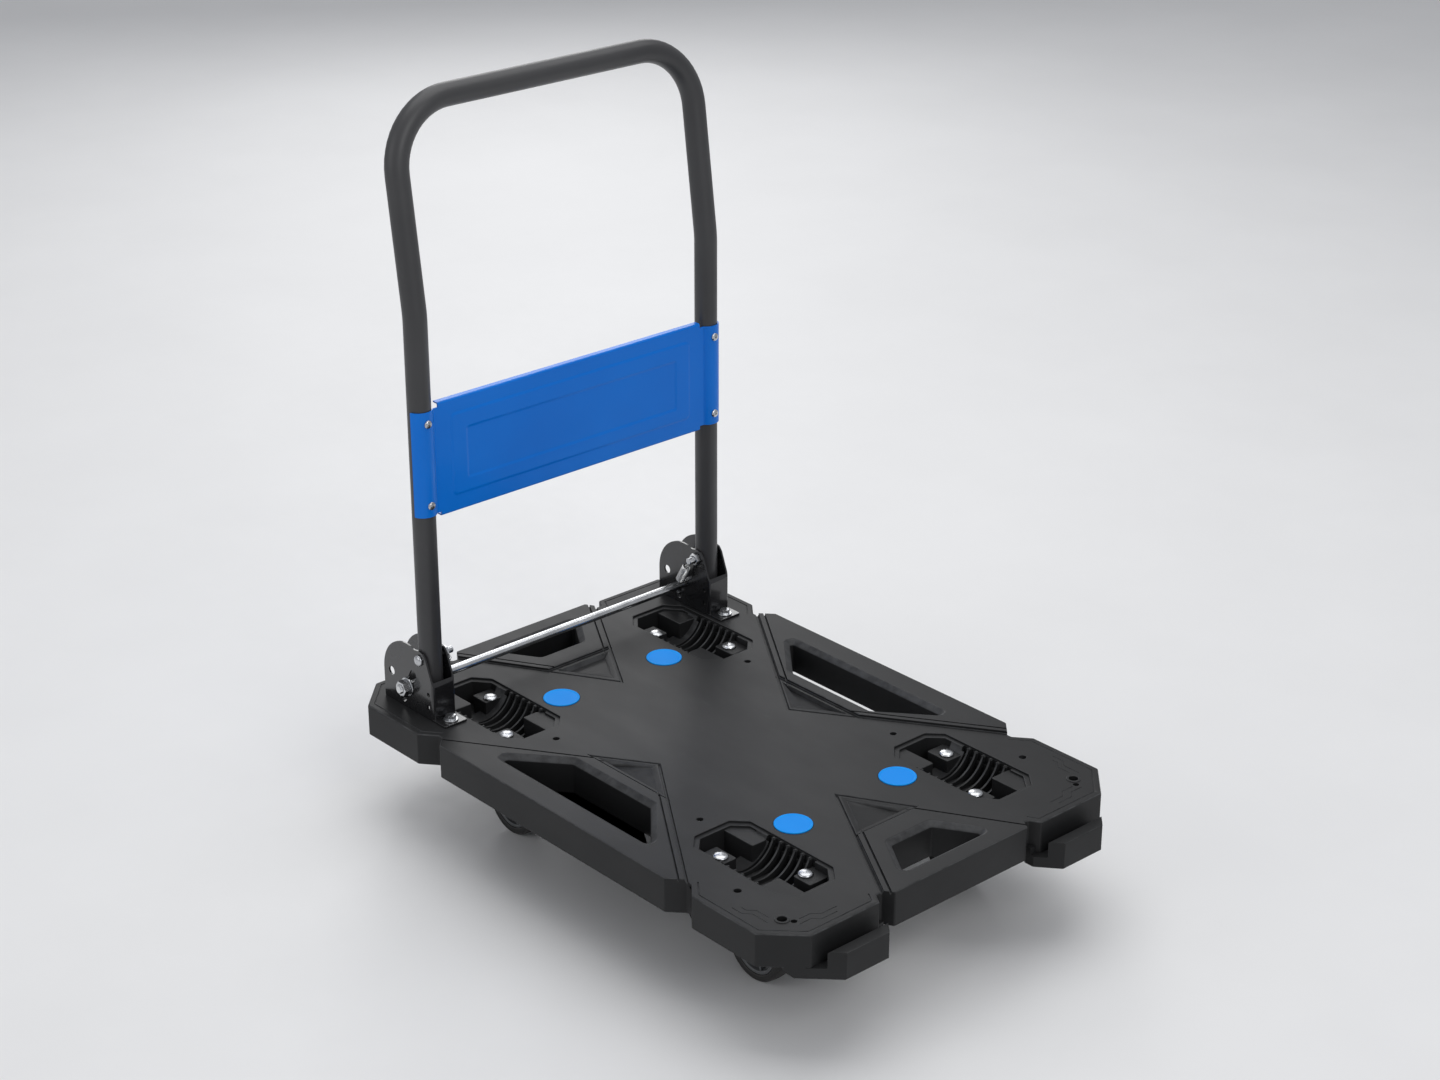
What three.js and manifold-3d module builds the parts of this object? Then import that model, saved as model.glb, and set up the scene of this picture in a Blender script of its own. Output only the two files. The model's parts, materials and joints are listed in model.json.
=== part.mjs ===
// Folding platform cart: a moulded deck on four casters, a bent-tube handle that folds flat over the
// deck, a sprung foot bar that locks it, and two coupling hooks that join it to another cart.
// Millimetres, +Z up. The origin is on the floor under the middle of the cart, +X points from the
// handle end to the hook end and +Y to the left of somebody who pushes it.
import * as THREE from 'three';
import { mergeVertices } from 'three/addons/utils/BufferGeometryUtils.js';
import Module from 'manifold-3d';

const wasm = await Module();
wasm.setup();

// ---------------------------------------------------------------- driving dimensions
const GAP = 0.3; // air left between pieces that touch
const OVERRUN = 2; // how far a cutter runs past the face it opens

const DECK_HALF_LENGTH = 348;
const DECK_HALF_WIDTH = 241;
const DECK_TOP = 137; // height of the load surface above the floor
const SKIRT_DEPTH = 36;
const SKIN = 4; // wall thickness of the moulding
const HOOK_REACH = 24; // how far the coupling hooks stand out of the deck
const PLATEAU = 2.5; // height of the four grip bars above the load surface
const RIB_THICKNESS = 3;

const PAD_RADIUS = 20; // blue grip pads
const PAD_X = 184.5;
const PAD_Y = 73.7;

const NEST_X = 211.5; // wheel nests in the top, with a caster under each
const NEST_Y = 140;
const NEST_FLOOR = 6;
const BOLT_LEDGE = 10; // depth of the ledge a caster bolt's head sits on
const CASTER_BOLT_X = 40;
const CASTER_BOLT_Y = 20;

const TUBE_RADIUS = 12.7;
const TUBE_WALL = 1.5;
const LEG_Y = 197; // legs of the handle, from the middle of the cart
const PIVOT_X = -252; // in the deck's frame
const PIVOT_Z = 66;
const TAIL = 36; // tube below the pivot
const LEG_LENGTH = 385; // from the pivot up to the bend
const UPPER_LENGTH = 214; // from the bend to the middle of the grip
const LEAN = THREE.MathUtils.degToRad(7.5); // backward lean of the upper part
const CORNER_RADIUS = 70;

const CHANNEL_WALL = 2;
const CHANNEL_HALF = TUBE_RADIUS + GAP + CHANNEL_WALL; // half the width of a pivot bracket
const BRACKET_BACK = -318;
const BRACKET_FRONT = -230;
const BRACKET_TAB = 20; // foot in front of the web
const WEB_HEIGHT = 40;
const FOOT_BOLTS = [BRACKET_FRONT + 10, BRACKET_BACK + 14];
const FOOT_HOLE_RADIUS = 3.5;
const PIVOT_BOLT_RADIUS = 4;

const BAR_RADIUS = 5;
const BAR_REST = 45.4; // distance of the lock bar from the pivot as stored
const BAR_HIGH = 25.4; // and at the two ends of its slot
const BAR_LOW = 63.8;
const SLOT_TILT = THREE.MathUtils.degToRad(30); // lean of the slot from vertical

const PANEL_BOTTOM = 162; // above the pivot
const PANEL_HEIGHT = 127;
const PANEL_HALF = 180;
const PANEL_TOP = PANEL_BOTTOM + PANEL_HEIGHT;
const PANEL_FACE = 9; // front of the sheet, ahead of the tube's centre line
const SHEET = 1.5;
const WING_INSET = 5;
const WING_RADIUS = TUBE_RADIUS + GAP;
const SCREW_INSET = 18; // from the panel's top and bottom edges
const SCREW_RADIUS = 2.4;

const WHEEL_RADIUS = 37.5;
const WHEEL_HALF = 12.5;
const TRAIL = 32; // swivel casters
const FORK_INNER = 16;
const FORK_SHEET = 2.5;
const AXLE_RADIUS = 4;
const PLATE_LENGTH = 100;
const PLATE_WIDTH = 62;
const KINGPIN_RADIUS = 6;

// ---------------------------------------------------------------- shapes and solids
const asPoints = (pairs) => pairs.map(([x, y]) => new THREE.Vector2(x, y));

// A closed three.js geometry as a solid that can be joined and cut.
function solid(geometry) {
  const bare = geometry.clone();
  bare.deleteAttribute('normal');
  bare.deleteAttribute('uv');
  const merged = mergeVertices(bare, 1e-4);
  return new wasm.Manifold(new wasm.Mesh({
    numProp: 3,
    vertProperties: merged.attributes.position.array,
    triVerts: Uint32Array.from(merged.index.array),
  }));
}

const join = (...pieces) => pieces.reduce((body, piece) => body.add(piece));
const cut = (body, ...tools) => tools.reduce((rest, tool) => rest.subtract(tool), body);

function geometryOf(body) {
  const mesh = body.getMesh();
  const geometry = new THREE.BufferGeometry();
  geometry.setAttribute('position', new THREE.BufferAttribute(mesh.vertProperties, 3));
  geometry.setIndex(new THREE.BufferAttribute(mesh.triVerts, 1));
  geometry.computeVertexNormals();
  return geometry;
}

// Prisms named after the axis they run along, from an outline in the other two.
function prismZ(outline, low, high) {
  const geometry = new THREE.ExtrudeGeometry(new THREE.Shape(asPoints(outline)),
    { depth: high - low, bevelEnabled: false });
  return solid(geometry.translate(0, 0, low));
}

function prismY(outline, low, high) {
  const geometry = new THREE.ExtrudeGeometry(new THREE.Shape(asPoints(outline)),
    { depth: high - low, bevelEnabled: false });
  return solid(geometry.rotateX(Math.PI / 2).translate(0, high, 0));
}

function block(x0, x1, y0, y1, z0, z1) {
  const geometry = new THREE.BoxGeometry(x1 - x0, y1 - y0, z1 - z0);
  return solid(geometry.translate((x0 + x1) / 2, (y0 + y1) / 2, (z0 + z1) / 2));
}

// Round bars by axis: centre of one end, radius, length along the positive axis.
const TURN = { x: (g) => g.rotateZ(-Math.PI / 2), y: (g) => g, z: (g) => g.rotateX(Math.PI / 2) };
const STEP = { x: [1, 0, 0], y: [0, 1, 0], z: [0, 0, 1] };

function bar(axis, [x, y, z], radius, length, sides = 16) {
  const [dx, dy, dz] = STEP[axis].map((step) => step * length / 2);
  const geometry = TURN[axis](new THREE.CylinderGeometry(radius, radius, length, sides));
  return solid(geometry.translate(x + dx, y + dy, z + dz));
}

// Every outline that is the same in all four quarters is given for one quarter, from the end to the side.
function mirrored(quarter) {
  const back = [...quarter].reverse();
  return [
    ...quarter,
    ...back.map(([x, y]) => [-x, y]),
    ...quarter.map(([x, y]) => [-x, -y]),
    ...back.map(([x, y]) => [x, -y]),
  ];
}

// An open line moved sideways, with mitred corners.
function offset(line, distance) {
  const normals = line.slice(1).map(([x, y], i) => {
    const [px, py] = line[i];
    return new THREE.Vector2(py - y, x - px).normalize();
  });
  return line.map(([x, y], i) => {
    const before = normals[Math.max(i - 1, 0)];
    const after = normals[Math.min(i, normals.length - 1)];
    const mitre = before.clone().add(after).normalize();
    const reach = distance / mitre.dot(after);
    return [x + mitre.x * reach, y + mitre.y * reach];
  });
}

const ribbon = (line, distance, width) => [
  ...offset(line, distance - width / 2),
  ...offset(line, distance + width / 2).reverse(),
];

// A closed outline grown outwards (or shrunk, with a negative distance); outline runs anticlockwise.
function grow(outline, distance) {
  const count = outline.length;
  const closed = [outline[count - 1], ...outline, outline[0]];
  return offset(closed, -distance).slice(1, count + 1);
}

const flipX = (line) => line.map(([x, y]) => [-x, y]).reverse();
const flipY = (line) => line.map(([x, y]) => [x, -y]).reverse();

// ---------------------------------------------------------------- the assembly
const cart = new THREE.Group();
const deckFrame = new THREE.Group(); // middle of the load surface
deckFrame.position.set(-HOOK_REACH / 2, 0, DECK_TOP);
const handleFrame = new THREE.Group(); // middle of the handle's pivot line
handleFrame.position.set(PIVOT_X, 0, PIVOT_Z);
deckFrame.add(handleFrame);
cart.add(deckFrame);

const FINISHES = {
  deck: { color: 0x35373a, roughness: 0.62, metalness: 0 },
  black: { color: 0x2b2c2e, roughness: 0.42, metalness: 0.2 },
  blue: { color: 0x0b6fc2, roughness: 0.35, metalness: 0.1 },
  zinc: { color: 0xc9ccd0, roughness: 0.28, metalness: 0.9 },
  tyre: { color: 0x202122, roughness: 0.8, metalness: 0 },
  core: { color: 0x4a4c50, roughness: 0.55, metalness: 0 },
};

function add(parent, name, body, finish) {
  const mesh = new THREE.Mesh(geometryOf(body), new THREE.MeshStandardMaterial(FINISHES[finish]));
  mesh.name = name;
  parent.add(mesh);
  return mesh;
}

const SIDES = [['left', 1], ['right', -1]];
const ENDS = [['front', 1], ['rear', -1]];

// ---------------------------------------------------------------- deck
const DECK_OUTLINE = mirrored([
  [DECK_HALF_LENGTH, 93], [336, 100], [336, 107], [DECK_HALF_LENGTH, 114],
  [DECK_HALF_LENGTH, 204], [311, DECK_HALF_WIDTH],
  [221, DECK_HALF_WIDTH], [203, 226], [197, 226], [181, DECK_HALF_WIDTH],
]);
const SIDE_PLATEAU = [[66, 137], [197, 226], [181, 241], [-181, 241], [-197, 226], [-66, 137]];
const END_PLATEAU = [[245, -46], [336, -100], [348, -93], [348, 93], [336, 100], [245, 46]];
const SIDE_SLOT = [[62, 157], [121, 207], [-121, 207], [-62, 157]];
const END_SLOT = [[278, -28], [322, -56], [322, 56], [278, 28]];
const SIDE_VEE = [[201, 229], [0, 92], [-201, 229]];
const END_VEE = [[341, -103], [170, 0], [341, 103]];
const SIDE_POCKET = [[0, 96], [52, 131], [-52, 131]];
const END_POCKET = [[177, 0], [238, -38], [238, 38]];
const SLOT_RIM = 4.5;
const POCKET_DEPTH = 5;
const PAD_SEAT = 1.5; // depth of the round seats of the grip pads
const SMALL_HOLES = [[115, 137, 4], [-115, 137, 4], [242, 201, 4], [309, 205, 5], [315, 201, 3.5]];
const RIBS_ACROSS = [-315, -130, -65, 0, 65, 130, 315];
const RIBS_ALONG = [-100, -50, 0, 50, 100];
const RIB_REACH = 318;

const bothSides = (outline, low, high) => [outline, flipY(outline)].map((line) => prismZ(line, low, high));
const bothEnds = (outline, low, high) => [outline, flipX(outline)].map((line) => prismZ(line, low, high));

// Grooves that frame the bow-tie shaped middle of the deck.
function grooves() {
  const lines = [[0, 3, 2.2], [8, 1.6, 1]]; // distance, width, depth
  const cutters = lines.flatMap(([distance, width, depth]) => [
    ...bothSides(ribbon(SIDE_VEE, distance, width), -depth, OVERRUN),
    ...bothEnds(ribbon(END_VEE, distance, width), -depth, OVERRUN),
  ]);
  return [
    ...cutters,
    ...bothSides(ribbon([[66, 135.5], [-66, 135.5]], 0, 3), -2.2, OVERRUN),
    ...bothEnds(ribbon([[243.5, 46], [243.5, -46]], 0, 3), -2.2, OVERRUN),
  ];
}

// Triangular hollows at the points of the bow tie, deepest next to the grip bars.
function triangularHollows() {
  const side = bothSides(SIDE_POCKET, -POCKET_DEPTH, OVERRUN);
  const end = bothEnds(END_POCKET, -POCKET_DEPTH, OVERRUN);
  return [...side, ...end];
}

// Fine angular lines pressed into the corners at the hook end.
function cornerLines() {
  const lines = [
    [[262, 229], [276, 229], [283, 222], [304, 222]],
    [[268, 222], [274, 222], [281, 215], [296, 215]],
    [[333, 158], [333, 176], [326, 183], [326, 198]],
    [[326, 152], [326, 170], [319, 177], [319, 190]],
  ];
  return lines.flatMap((line) => bothSides(ribbon(line, 0, 1.4), -0.8, OVERRUN));
}

// Wheel nest, in a frame at its middle: u runs to the nearer end of the deck, v to the nearer side.
const NEST_OUTLINE = [[-73, -22], [-58, -37], [58, -37], [76, -22], [76, 22], [58, 37], [-58, 37], [-73, 22]];
const NEST_LEDGES = [[[-74, -38], [-34, -38], [-27, -31], [-27, -14], [-74, -14]],
  [[76, 38], [35, 38], [35, 10], [76, 10]]];
const BOLT_LEDGES = [[[-60, 10], [-27, 10], [-27, 38], [-60, 38]],
  [[35, -38], [60, -38], [60, -10], [35, -10]]];
const CRADLE_FINS = 6;
const CRADLE_PITCH = 10.4;
const CRADLE_START = -22;
const CRADLE_RADIUS = 36;
const CRADLE_AXIS = 10; // above the load surface
const FIN_HALF = 1.1;
const FIN_REACH = 38;

function atNest(outline, [endSign, sideSign]) {
  const line = outline.map(([u, v]) => [endSign * (NEST_X + u), sideSign * (NEST_Y + v)]);
  return endSign * sideSign > 0 ? line : line.reverse();
}

// Thin fins across the nest, hollowed to a cradle; they stand at the same place in both ends' nests.
function nestFins(corner) {
  const [endSign, sideSign] = corner;
  const fins = Array.from({ length: CRADLE_FINS }, (_, i) => {
    const u = endSign * (CRADLE_START + i * CRADLE_PITCH);
    return prismZ(atNest([[u - FIN_HALF, -FIN_REACH], [u + FIN_HALF, -FIN_REACH],
      [u + FIN_HALF, FIN_REACH], [u - FIN_HALF, FIN_REACH]], corner), -SKIRT_DEPTH + NEST_FLOOR - 1, -2);
  });
  const cradle = bar('x', [endSign * NEST_X - 80, sideSign * NEST_Y, CRADLE_AXIS], CRADLE_RADIUS, 160, 14);
  return cut(join(...fins), cradle);
}

const CORNERS = ENDS.flatMap(([, endSign]) => SIDES.map(([, sideSign]) => [endSign, sideSign]));

function boltHoles([endSign, sideSign]) {
  return [[-CASTER_BOLT_X, CASTER_BOLT_Y], [CASTER_BOLT_X, -CASTER_BOLT_Y]].map(([u, v]) =>
    bar('z', [endSign * (NEST_X + u), sideSign * (NEST_Y + v), -SKIRT_DEPTH - OVERRUN],
      AXLE_RADIUS + GAP, SKIRT_DEPTH + 2 * OVERRUN, 10));
}

// Coupling hook, from the side (x, z) and from above (x, y): it runs out under the skirt and turns up.
const HOOK_BOTTOM = -47.5;
const HOOK_TIP = -18;
const HOOK_PROFILE = [[326, -SKIRT_DEPTH - 0.5], [337, HOOK_BOTTOM], [372, HOOK_BOTTOM], [372, HOOK_TIP],
  [359, HOOK_TIP], [359, -SKIRT_DEPTH], [344, -SKIRT_DEPTH], [344, -28], [326, -28]];
const HOOK_PLAN = [[324, 104], [348, 104], [372, 124], [372, 180], [348, 204], [330, 222], [324, 222]];

function hook(sideSign) {
  const plan = sideSign > 0 ? HOOK_PLAN : flipY(HOOK_PLAN);
  return prismY(HOOK_PROFILE, -DECK_HALF_WIDTH, DECK_HALF_WIDTH)
    .intersect(prismZ(plan, HOOK_BOTTOM - OVERRUN, 0));
}

// Ribs under the skin, kept clear of the hollow behind the handle-end skirt that a hook enters.
function ribs() {
  const low = -SKIRT_DEPTH + 3;
  const half = RIB_THICKNESS / 2;
  const across = RIBS_ACROSS.map((x) =>
    block(x - half, x + half, -DECK_HALF_WIDTH, DECK_HALF_WIDTH, low, -1));
  const along = RIBS_ALONG.map((y) => block(-RIB_REACH, RIB_REACH, y - half, y + half, low, -1));
  return join(...across, ...along).intersect(prismZ(grow(DECK_OUTLINE, -SKIN / 2), low - 1, 0));
}

function deckBody() {
  const shell = cut(
    prismZ(DECK_OUTLINE, -SKIRT_DEPTH, 0),
    prismZ(grow(DECK_OUTLINE, -SKIN), -SKIRT_DEPTH - OVERRUN, -SKIN),
  );
  const plateaus = [...bothSides(SIDE_PLATEAU, -SKIN, PLATEAU), ...bothEnds(END_PLATEAU, -SKIN, PLATEAU)];
  const collars = [
    ...bothSides(grow(SIDE_SLOT, SKIN), -SKIRT_DEPTH, 0),
    ...bothEnds(grow(END_SLOT, SKIN), -SKIRT_DEPTH, 0),
    ...CORNERS.map((corner) => prismZ(grow(atNest(NEST_OUTLINE, corner), SKIN), -SKIRT_DEPTH, 0)),
  ];
  const hooks = SIDES.map(([, sideSign]) => hook(sideSign));
  const trays = [
    ...bothSides(grow(SIDE_POCKET, SKIN), -POCKET_DEPTH - SKIN, -1),
    ...bothEnds(grow(END_POCKET, SKIN), -POCKET_DEPTH - SKIN, -1),
  ];
  const solidDeck = join(shell, ...plateaus, ribs(), ...collars, ...trays, ...hooks);
  const slots = [
    ...bothSides(SIDE_SLOT, -SKIRT_DEPTH - OVERRUN, PLATEAU + OVERRUN),
    ...bothEnds(END_SLOT, -SKIRT_DEPTH - OVERRUN, PLATEAU + OVERRUN),
    ...bothSides(grow(SIDE_SLOT, SLOT_RIM), 0, PLATEAU + OVERRUN),
    ...bothEnds(grow(END_SLOT, SLOT_RIM), 0, PLATEAU + OVERRUN),
  ];
  const nests = CORNERS.map((corner) =>
    prismZ(atNest(NEST_OUTLINE, corner), -SKIRT_DEPTH + NEST_FLOOR, OVERRUN));
  const padSeats = CORNERS.map(([endSign, sideSign]) =>
    bar('z', [endSign * PAD_X, sideSign * PAD_Y, -PAD_SEAT], PAD_RADIUS + GAP, OVERRUN + PAD_SEAT, 24));
  const opened = cut(solidDeck, ...slots, ...nests, ...padSeats, ...triangularHollows(), ...grooves(),
    ...cornerLines());
  const furnished = join(opened, ...CORNERS.flatMap((corner) => [
    nestFins(corner),
    ...NEST_LEDGES.map((ledge) => prismZ(atNest(ledge, corner), -SKIRT_DEPTH + 1, -4)),
    ...BOLT_LEDGES.map((ledge) => prismZ(atNest(ledge, corner), -SKIRT_DEPTH + 1, -BOLT_LEDGE)),
  ]));
  const holes = [...SMALL_HOLES, ...FOOT_BOLTS.map((x) => [x, LEG_Y, FOOT_HOLE_RADIUS])];
  const drills = SIDES.flatMap(([, sideSign]) => holes.map(([x, y, radius]) =>
    bar('z', [x, sideSign * y, -SKIN - OVERRUN], radius, SKIN + 2 * OVERRUN, 10)));
  return cut(furnished, ...CORNERS.flatMap(boltHoles), ...drills);
}

function padBody(x, y) {
  return bar('z', [x, y, GAP - PAD_SEAT], PAD_RADIUS - GAP, PAD_SEAT + 0.7, 24);
}

// ---------------------------------------------------------------- handle
// A path through given stations: the section stands at each of them and runs straight in between.
class StationPath extends THREE.Curve {
  constructor(stations) {
    super();
    this.stations = stations;
  }

  getPoint(t) {
    const last = this.stations.length - 1;
    const place = Math.min(Math.max(t, 0), 1) * last;
    const index = Math.min(Math.floor(place), last - 1);
    return this.stations[index].clone().lerp(this.stations[index + 1], place - index);
  }

  getUtoTmapping(u) {
    return u;
  }
}

// Points of an arc that rounds the corner at `corner` between the directions to `from` and `to`.
function roundedCorner(from, corner, to, radius, steps) {
  const a = from.clone().sub(corner).normalize();
  const b = to.clone().sub(corner).normalize();
  const half = a.angleTo(b) / 2;
  const centre = a.clone().add(b).normalize().multiplyScalar(radius / Math.sin(half)).add(corner);
  const start = a.clone().multiplyScalar(radius / Math.tan(half)).add(corner).sub(centre);
  const axis = new THREE.Vector3().crossVectors(b, a).normalize();
  const sweep = Math.PI - 2 * half;
  return Array.from({ length: steps + 1 }, (_, i) =>
    start.clone().applyAxisAngle(axis, sweep * i / steps).add(centre));
}

// Places (y, z) of the screws that hold the panel to the tube.
const PANEL_SCREWS = SIDES.flatMap(([, sideSign]) =>
  [PANEL_BOTTOM + SCREW_INSET, PANEL_TOP - SCREW_INSET].map((z) => [sideSign * LEG_Y, z]));

// Centre line of the whole handle, in the frame of its pivot line.
function handleStations() {
  const bend = new THREE.Vector3(0, LEG_Y, LEG_LENGTH);
  const top = new THREE.Vector3(-UPPER_LENGTH * Math.sin(LEAN), LEG_Y,
    LEG_LENGTH + UPPER_LENGTH * Math.cos(LEAN));
  const tail = new THREE.Vector3(0, LEG_Y, -TAIL);
  const middle = top.clone().setY(0);
  const half = [tail, ...roundedCorner(tail, bend, top, 120, 2),
    ...roundedCorner(bend, top, middle, CORNER_RADIUS, 6)];
  const other = half.map((point) => new THREE.Vector3(point.x, -point.y, point.z)).reverse();
  return [...half, ...other];
}

function tubeBody() {
  const stations = handleStations();
  const section = new THREE.Shape().absarc(0, 0, TUBE_RADIUS, 0, 2 * Math.PI);
  section.holes.push(new THREE.Path().absarc(0, 0, TUBE_RADIUS - TUBE_WALL, 0, 2 * Math.PI));
  const geometry = new THREE.ExtrudeGeometry(section, {
    steps: stations.length - 1,
    curveSegments: 8,
    extrudePath: new StationPath(stations),
  });
  const pivotHole = bar('y', [0, -LEG_Y - 20, 0], PIVOT_BOLT_RADIUS + 0.4, 2 * LEG_Y + 40, 16);
  const screwHoles = PANEL_SCREWS.map(([y, z]) => bar('x', [2, y, z], SCREW_RADIUS + GAP, 16, 10));
  return cut(solid(geometry), pivotHole, lockNotch(), ...screwHoles);
}

// Place on the lock bar's line of travel at a distance from the pivot.
const slotPoint = (distance) => [-distance * Math.sin(SLOT_TILT), -distance * Math.cos(SLOT_TILT)];

// Outline of a slot along the lock bar's travel, in the pivot's frame.
function slotOutline(near, far, radius) {
  const along = new THREE.Vector2(...slotPoint(1));
  const side = new THREE.Vector2(-along.y, along.x);
  const steps = 4;
  const cap = (distance, first) => Array.from({ length: steps + 1 }, (_, i) => {
    const angle = first + Math.PI * i / steps;
    const spoke = side.clone().multiplyScalar(Math.cos(angle)).addScaledVector(along, Math.sin(angle));
    return [along.x * distance + spoke.x * radius, along.y * distance + spoke.y * radius];
  });
  return [...cap(far, 0), ...cap(near, Math.PI)];
}

// Notch in the back of both tails that the bar is drawn up into.
const lockNotch = () => prismY(slotOutline(BAR_HIGH, BAR_REST, BAR_RADIUS + 0.5), -LEG_Y - 20, LEG_Y + 20);

function plugBody(sideSign) {
  const cap = bar('z', [0, sideSign * LEG_Y, -TAIL - 1.7], TUBE_RADIUS - GAP, 1.7 - GAP, 16);
  const stem = bar('z', [0, sideSign * LEG_Y, -TAIL - 1], TUBE_RADIUS - TUBE_WALL - 2 * GAP, 6, 16);
  return join(cap, stem);
}

// ---------------------------------------------------------------- panel
// Nested frames pressed into the sheet: half length, and rise from the panel's two long edges.
const RAISED_FRAME = [162, 21, 19];
const SUNK_FRAME = [145, 34, 35];
const PRESSING = 0.9;

function wingBody(sideSign) {
  return cut(
    bar('z', [0, sideSign * LEG_Y, PANEL_BOTTOM + WING_INSET], WING_RADIUS + SHEET,
      PANEL_HEIGHT - 2 * WING_INSET, 24),
    bar('z', [0, sideSign * LEG_Y, PANEL_BOTTOM], WING_RADIUS, PANEL_HEIGHT, 24),
    block(-20, 3, sideSign * LEG_Y - 20, sideSign * LEG_Y + 20, PANEL_BOTTOM, PANEL_TOP),
  );
}

// Box over one pressed frame, between two depths.
const frameBox = ([half, low, high], inset, x0, x1) => block(x0, x1, -half + inset, half - inset,
  PANEL_BOTTOM + low + inset, PANEL_TOP - high - inset);

function panelBody() {
  const back = PANEL_FACE - SHEET;
  const sheet = block(back, PANEL_FACE, -PANEL_HALF, PANEL_HALF, PANEL_BOTTOM, PANEL_TOP);
  const lips = [PANEL_BOTTOM, PANEL_TOP - SHEET].map((z) =>
    block(1, PANEL_FACE, -PANEL_HALF, PANEL_HALF, z, z + SHEET));
  const bridge = block(back, PANEL_FACE, -LEG_Y, LEG_Y, PANEL_BOTTOM + WING_INSET, PANEL_TOP - WING_INSET);
  const clearTubes = SIDES.map(([, sideSign]) =>
    bar('z', [0, sideSign * LEG_Y, PANEL_BOTTOM - 1], WING_RADIUS, PANEL_HEIGHT + 2, 24));
  const raised = frameBox(RAISED_FRAME, 0, back, PANEL_FACE + PRESSING);
  const behindRaised = frameBox(RAISED_FRAME, SHEET, back - 1, back + PRESSING);
  const sunk = frameBox(SUNK_FRAME, 0, PANEL_FACE, PANEL_FACE + 2 * PRESSING);
  const floor = frameBox(SUNK_FRAME, -SHEET, back, PANEL_FACE);
  const pressed = cut(join(cut(join(sheet, raised), behindRaised), floor), sunk);
  const wings = SIDES.map(([, sideSign]) => wingBody(sideSign));
  const screwHoles = PANEL_SCREWS.map(([y, z]) => bar('x', [2, y, z], SCREW_RADIUS + GAP, 16, 10));
  return cut(join(cut(join(pressed, ...lips, bridge), ...clearTubes), ...wings), ...screwHoles);
}

function panelScrewBody(y, z) {
  const seat = WING_RADIUS + SHEET + GAP;
  return join(bar('x', [4, y, z], SCREW_RADIUS, seat - 3, 10), bar('x', [seat, y, z], 4.5, 2.4, 12));
}

// ---------------------------------------------------------------- pivot brackets and lock bar
// Side plate outline in the deck's frame (x, z): straight front, sloped nose, round back.
function plateOutline() {
  const centre = [-275, 35];
  const radius = 43;
  const arc = Array.from({ length: 9 }, (_, i) => {
    const angle = THREE.MathUtils.degToRad(68 + 14 * i);
    return [centre[0] + radius * Math.cos(angle), centre[1] + radius * Math.sin(angle)];
  });
  return [[BRACKET_BACK, GAP], [BRACKET_FRONT, GAP], [BRACKET_FRONT, WEB_HEIGHT], [-241.5, 70], [-246, 75.5],
    [-252, 77], ...arc.slice(1)];
}

function bracketBody(sideSign) {
  const middle = sideSign * LEG_Y;
  const sheet = CHANNEL_WALL;
  const plates = [middle - CHANNEL_HALF, middle + CHANNEL_HALF - sheet].map((y) =>
    prismY(plateOutline(), y, y + sheet));
  const web = block(BRACKET_FRONT - sheet, BRACKET_FRONT, middle - CHANNEL_HALF, middle + CHANNEL_HALF,
    GAP, WEB_HEIGHT);
  const floor = block(BRACKET_BACK, BRACKET_FRONT + BRACKET_TAB, middle - CHANNEL_HALF,
    middle + CHANNEL_HALF, GAP, GAP + sheet);
  const start = middle - CHANNEL_HALF - OVERRUN;
  const pivotFrame = (pairs) => pairs.map(([x, z]) => [x + PIVOT_X, z + PIVOT_Z]);
  const slot = prismY(pivotFrame(slotOutline(BAR_HIGH, BAR_LOW, BAR_RADIUS + 0.5)),
    start, middle + CHANNEL_HALF + OVERRUN);
  const round = [[PIVOT_X, PIVOT_Z, PIVOT_BOLT_RADIUS + 0.5], [-304, 35, 5], [-238, 30, 2.5]].map(
    ([x, z, radius]) => bar('y', [x, start, z], radius, 2 * (CHANNEL_HALF + OVERRUN), 12));
  const bolts = FOOT_BOLTS.map((x) =>
    bar('z', [x, middle, -OVERRUN], FOOT_HOLE_RADIUS, sheet + 2 * OVERRUN, 10));
  return cut(join(...plates, web, floor), slot, ...round, ...bolts);
}

// Pivot bolt: head outside the bracket, shank long enough to carry the spring inside it.
const PIVOT_BOLT_END = 28; // beyond the bracket's middle, inwards
function pivotBoltBody(sideSign) {
  const head = CHANNEL_HALF + GAP;
  const shank = sideSign > 0 ? [-PIVOT_BOLT_END, head + 1] : [-head - 1, PIVOT_BOLT_END];
  const cap = sideSign > 0 ? head : -head - 4;
  return join(
    bar('y', [0, sideSign * LEG_Y + shank[0], 0], PIVOT_BOLT_RADIUS, shank[1] - shank[0], 16),
    bar('y', [0, sideSign * LEG_Y + cap, 0], 6.5, 4, 16),
  );
}

function nutBody(y, thickness, radius, bore) {
  return cut(bar('y', [0, y, 0], radius, thickness, 6),
    bar('y', [0, y - OVERRUN, 0], bore, thickness + 2 * OVERRUN, 16));
}

const inward = (sideSign, from, thickness) => (sideSign > 0
  ? LEG_Y - from - thickness : -LEG_Y + from);
const outward = (sideSign, from, thickness) => (sideSign > 0
  ? LEG_Y + from : -LEG_Y - from - thickness);

function springBody(sideSign) {
  const y = sideSign * (LEG_Y - 25.5);
  const reach = (from, to, radius, sides) => {
    const geometry = new THREE.CylinderGeometry(radius, radius, to - from, sides);
    geometry.rotateX(Math.PI / 2).translate(0, 0, -(from + to) / 2).rotateY(SLOT_TILT);
    return solid(geometry.translate(0, y, 0));
  };
  const top = PIVOT_BOLT_RADIUS + GAP;
  const end = BAR_REST - BAR_RADIUS - GAP;
  return join(reach(8, end - 3, 5, 14), reach(top, 9, 1.2, 8), reach(end - 4, end, 1.2, 8));
}

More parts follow.
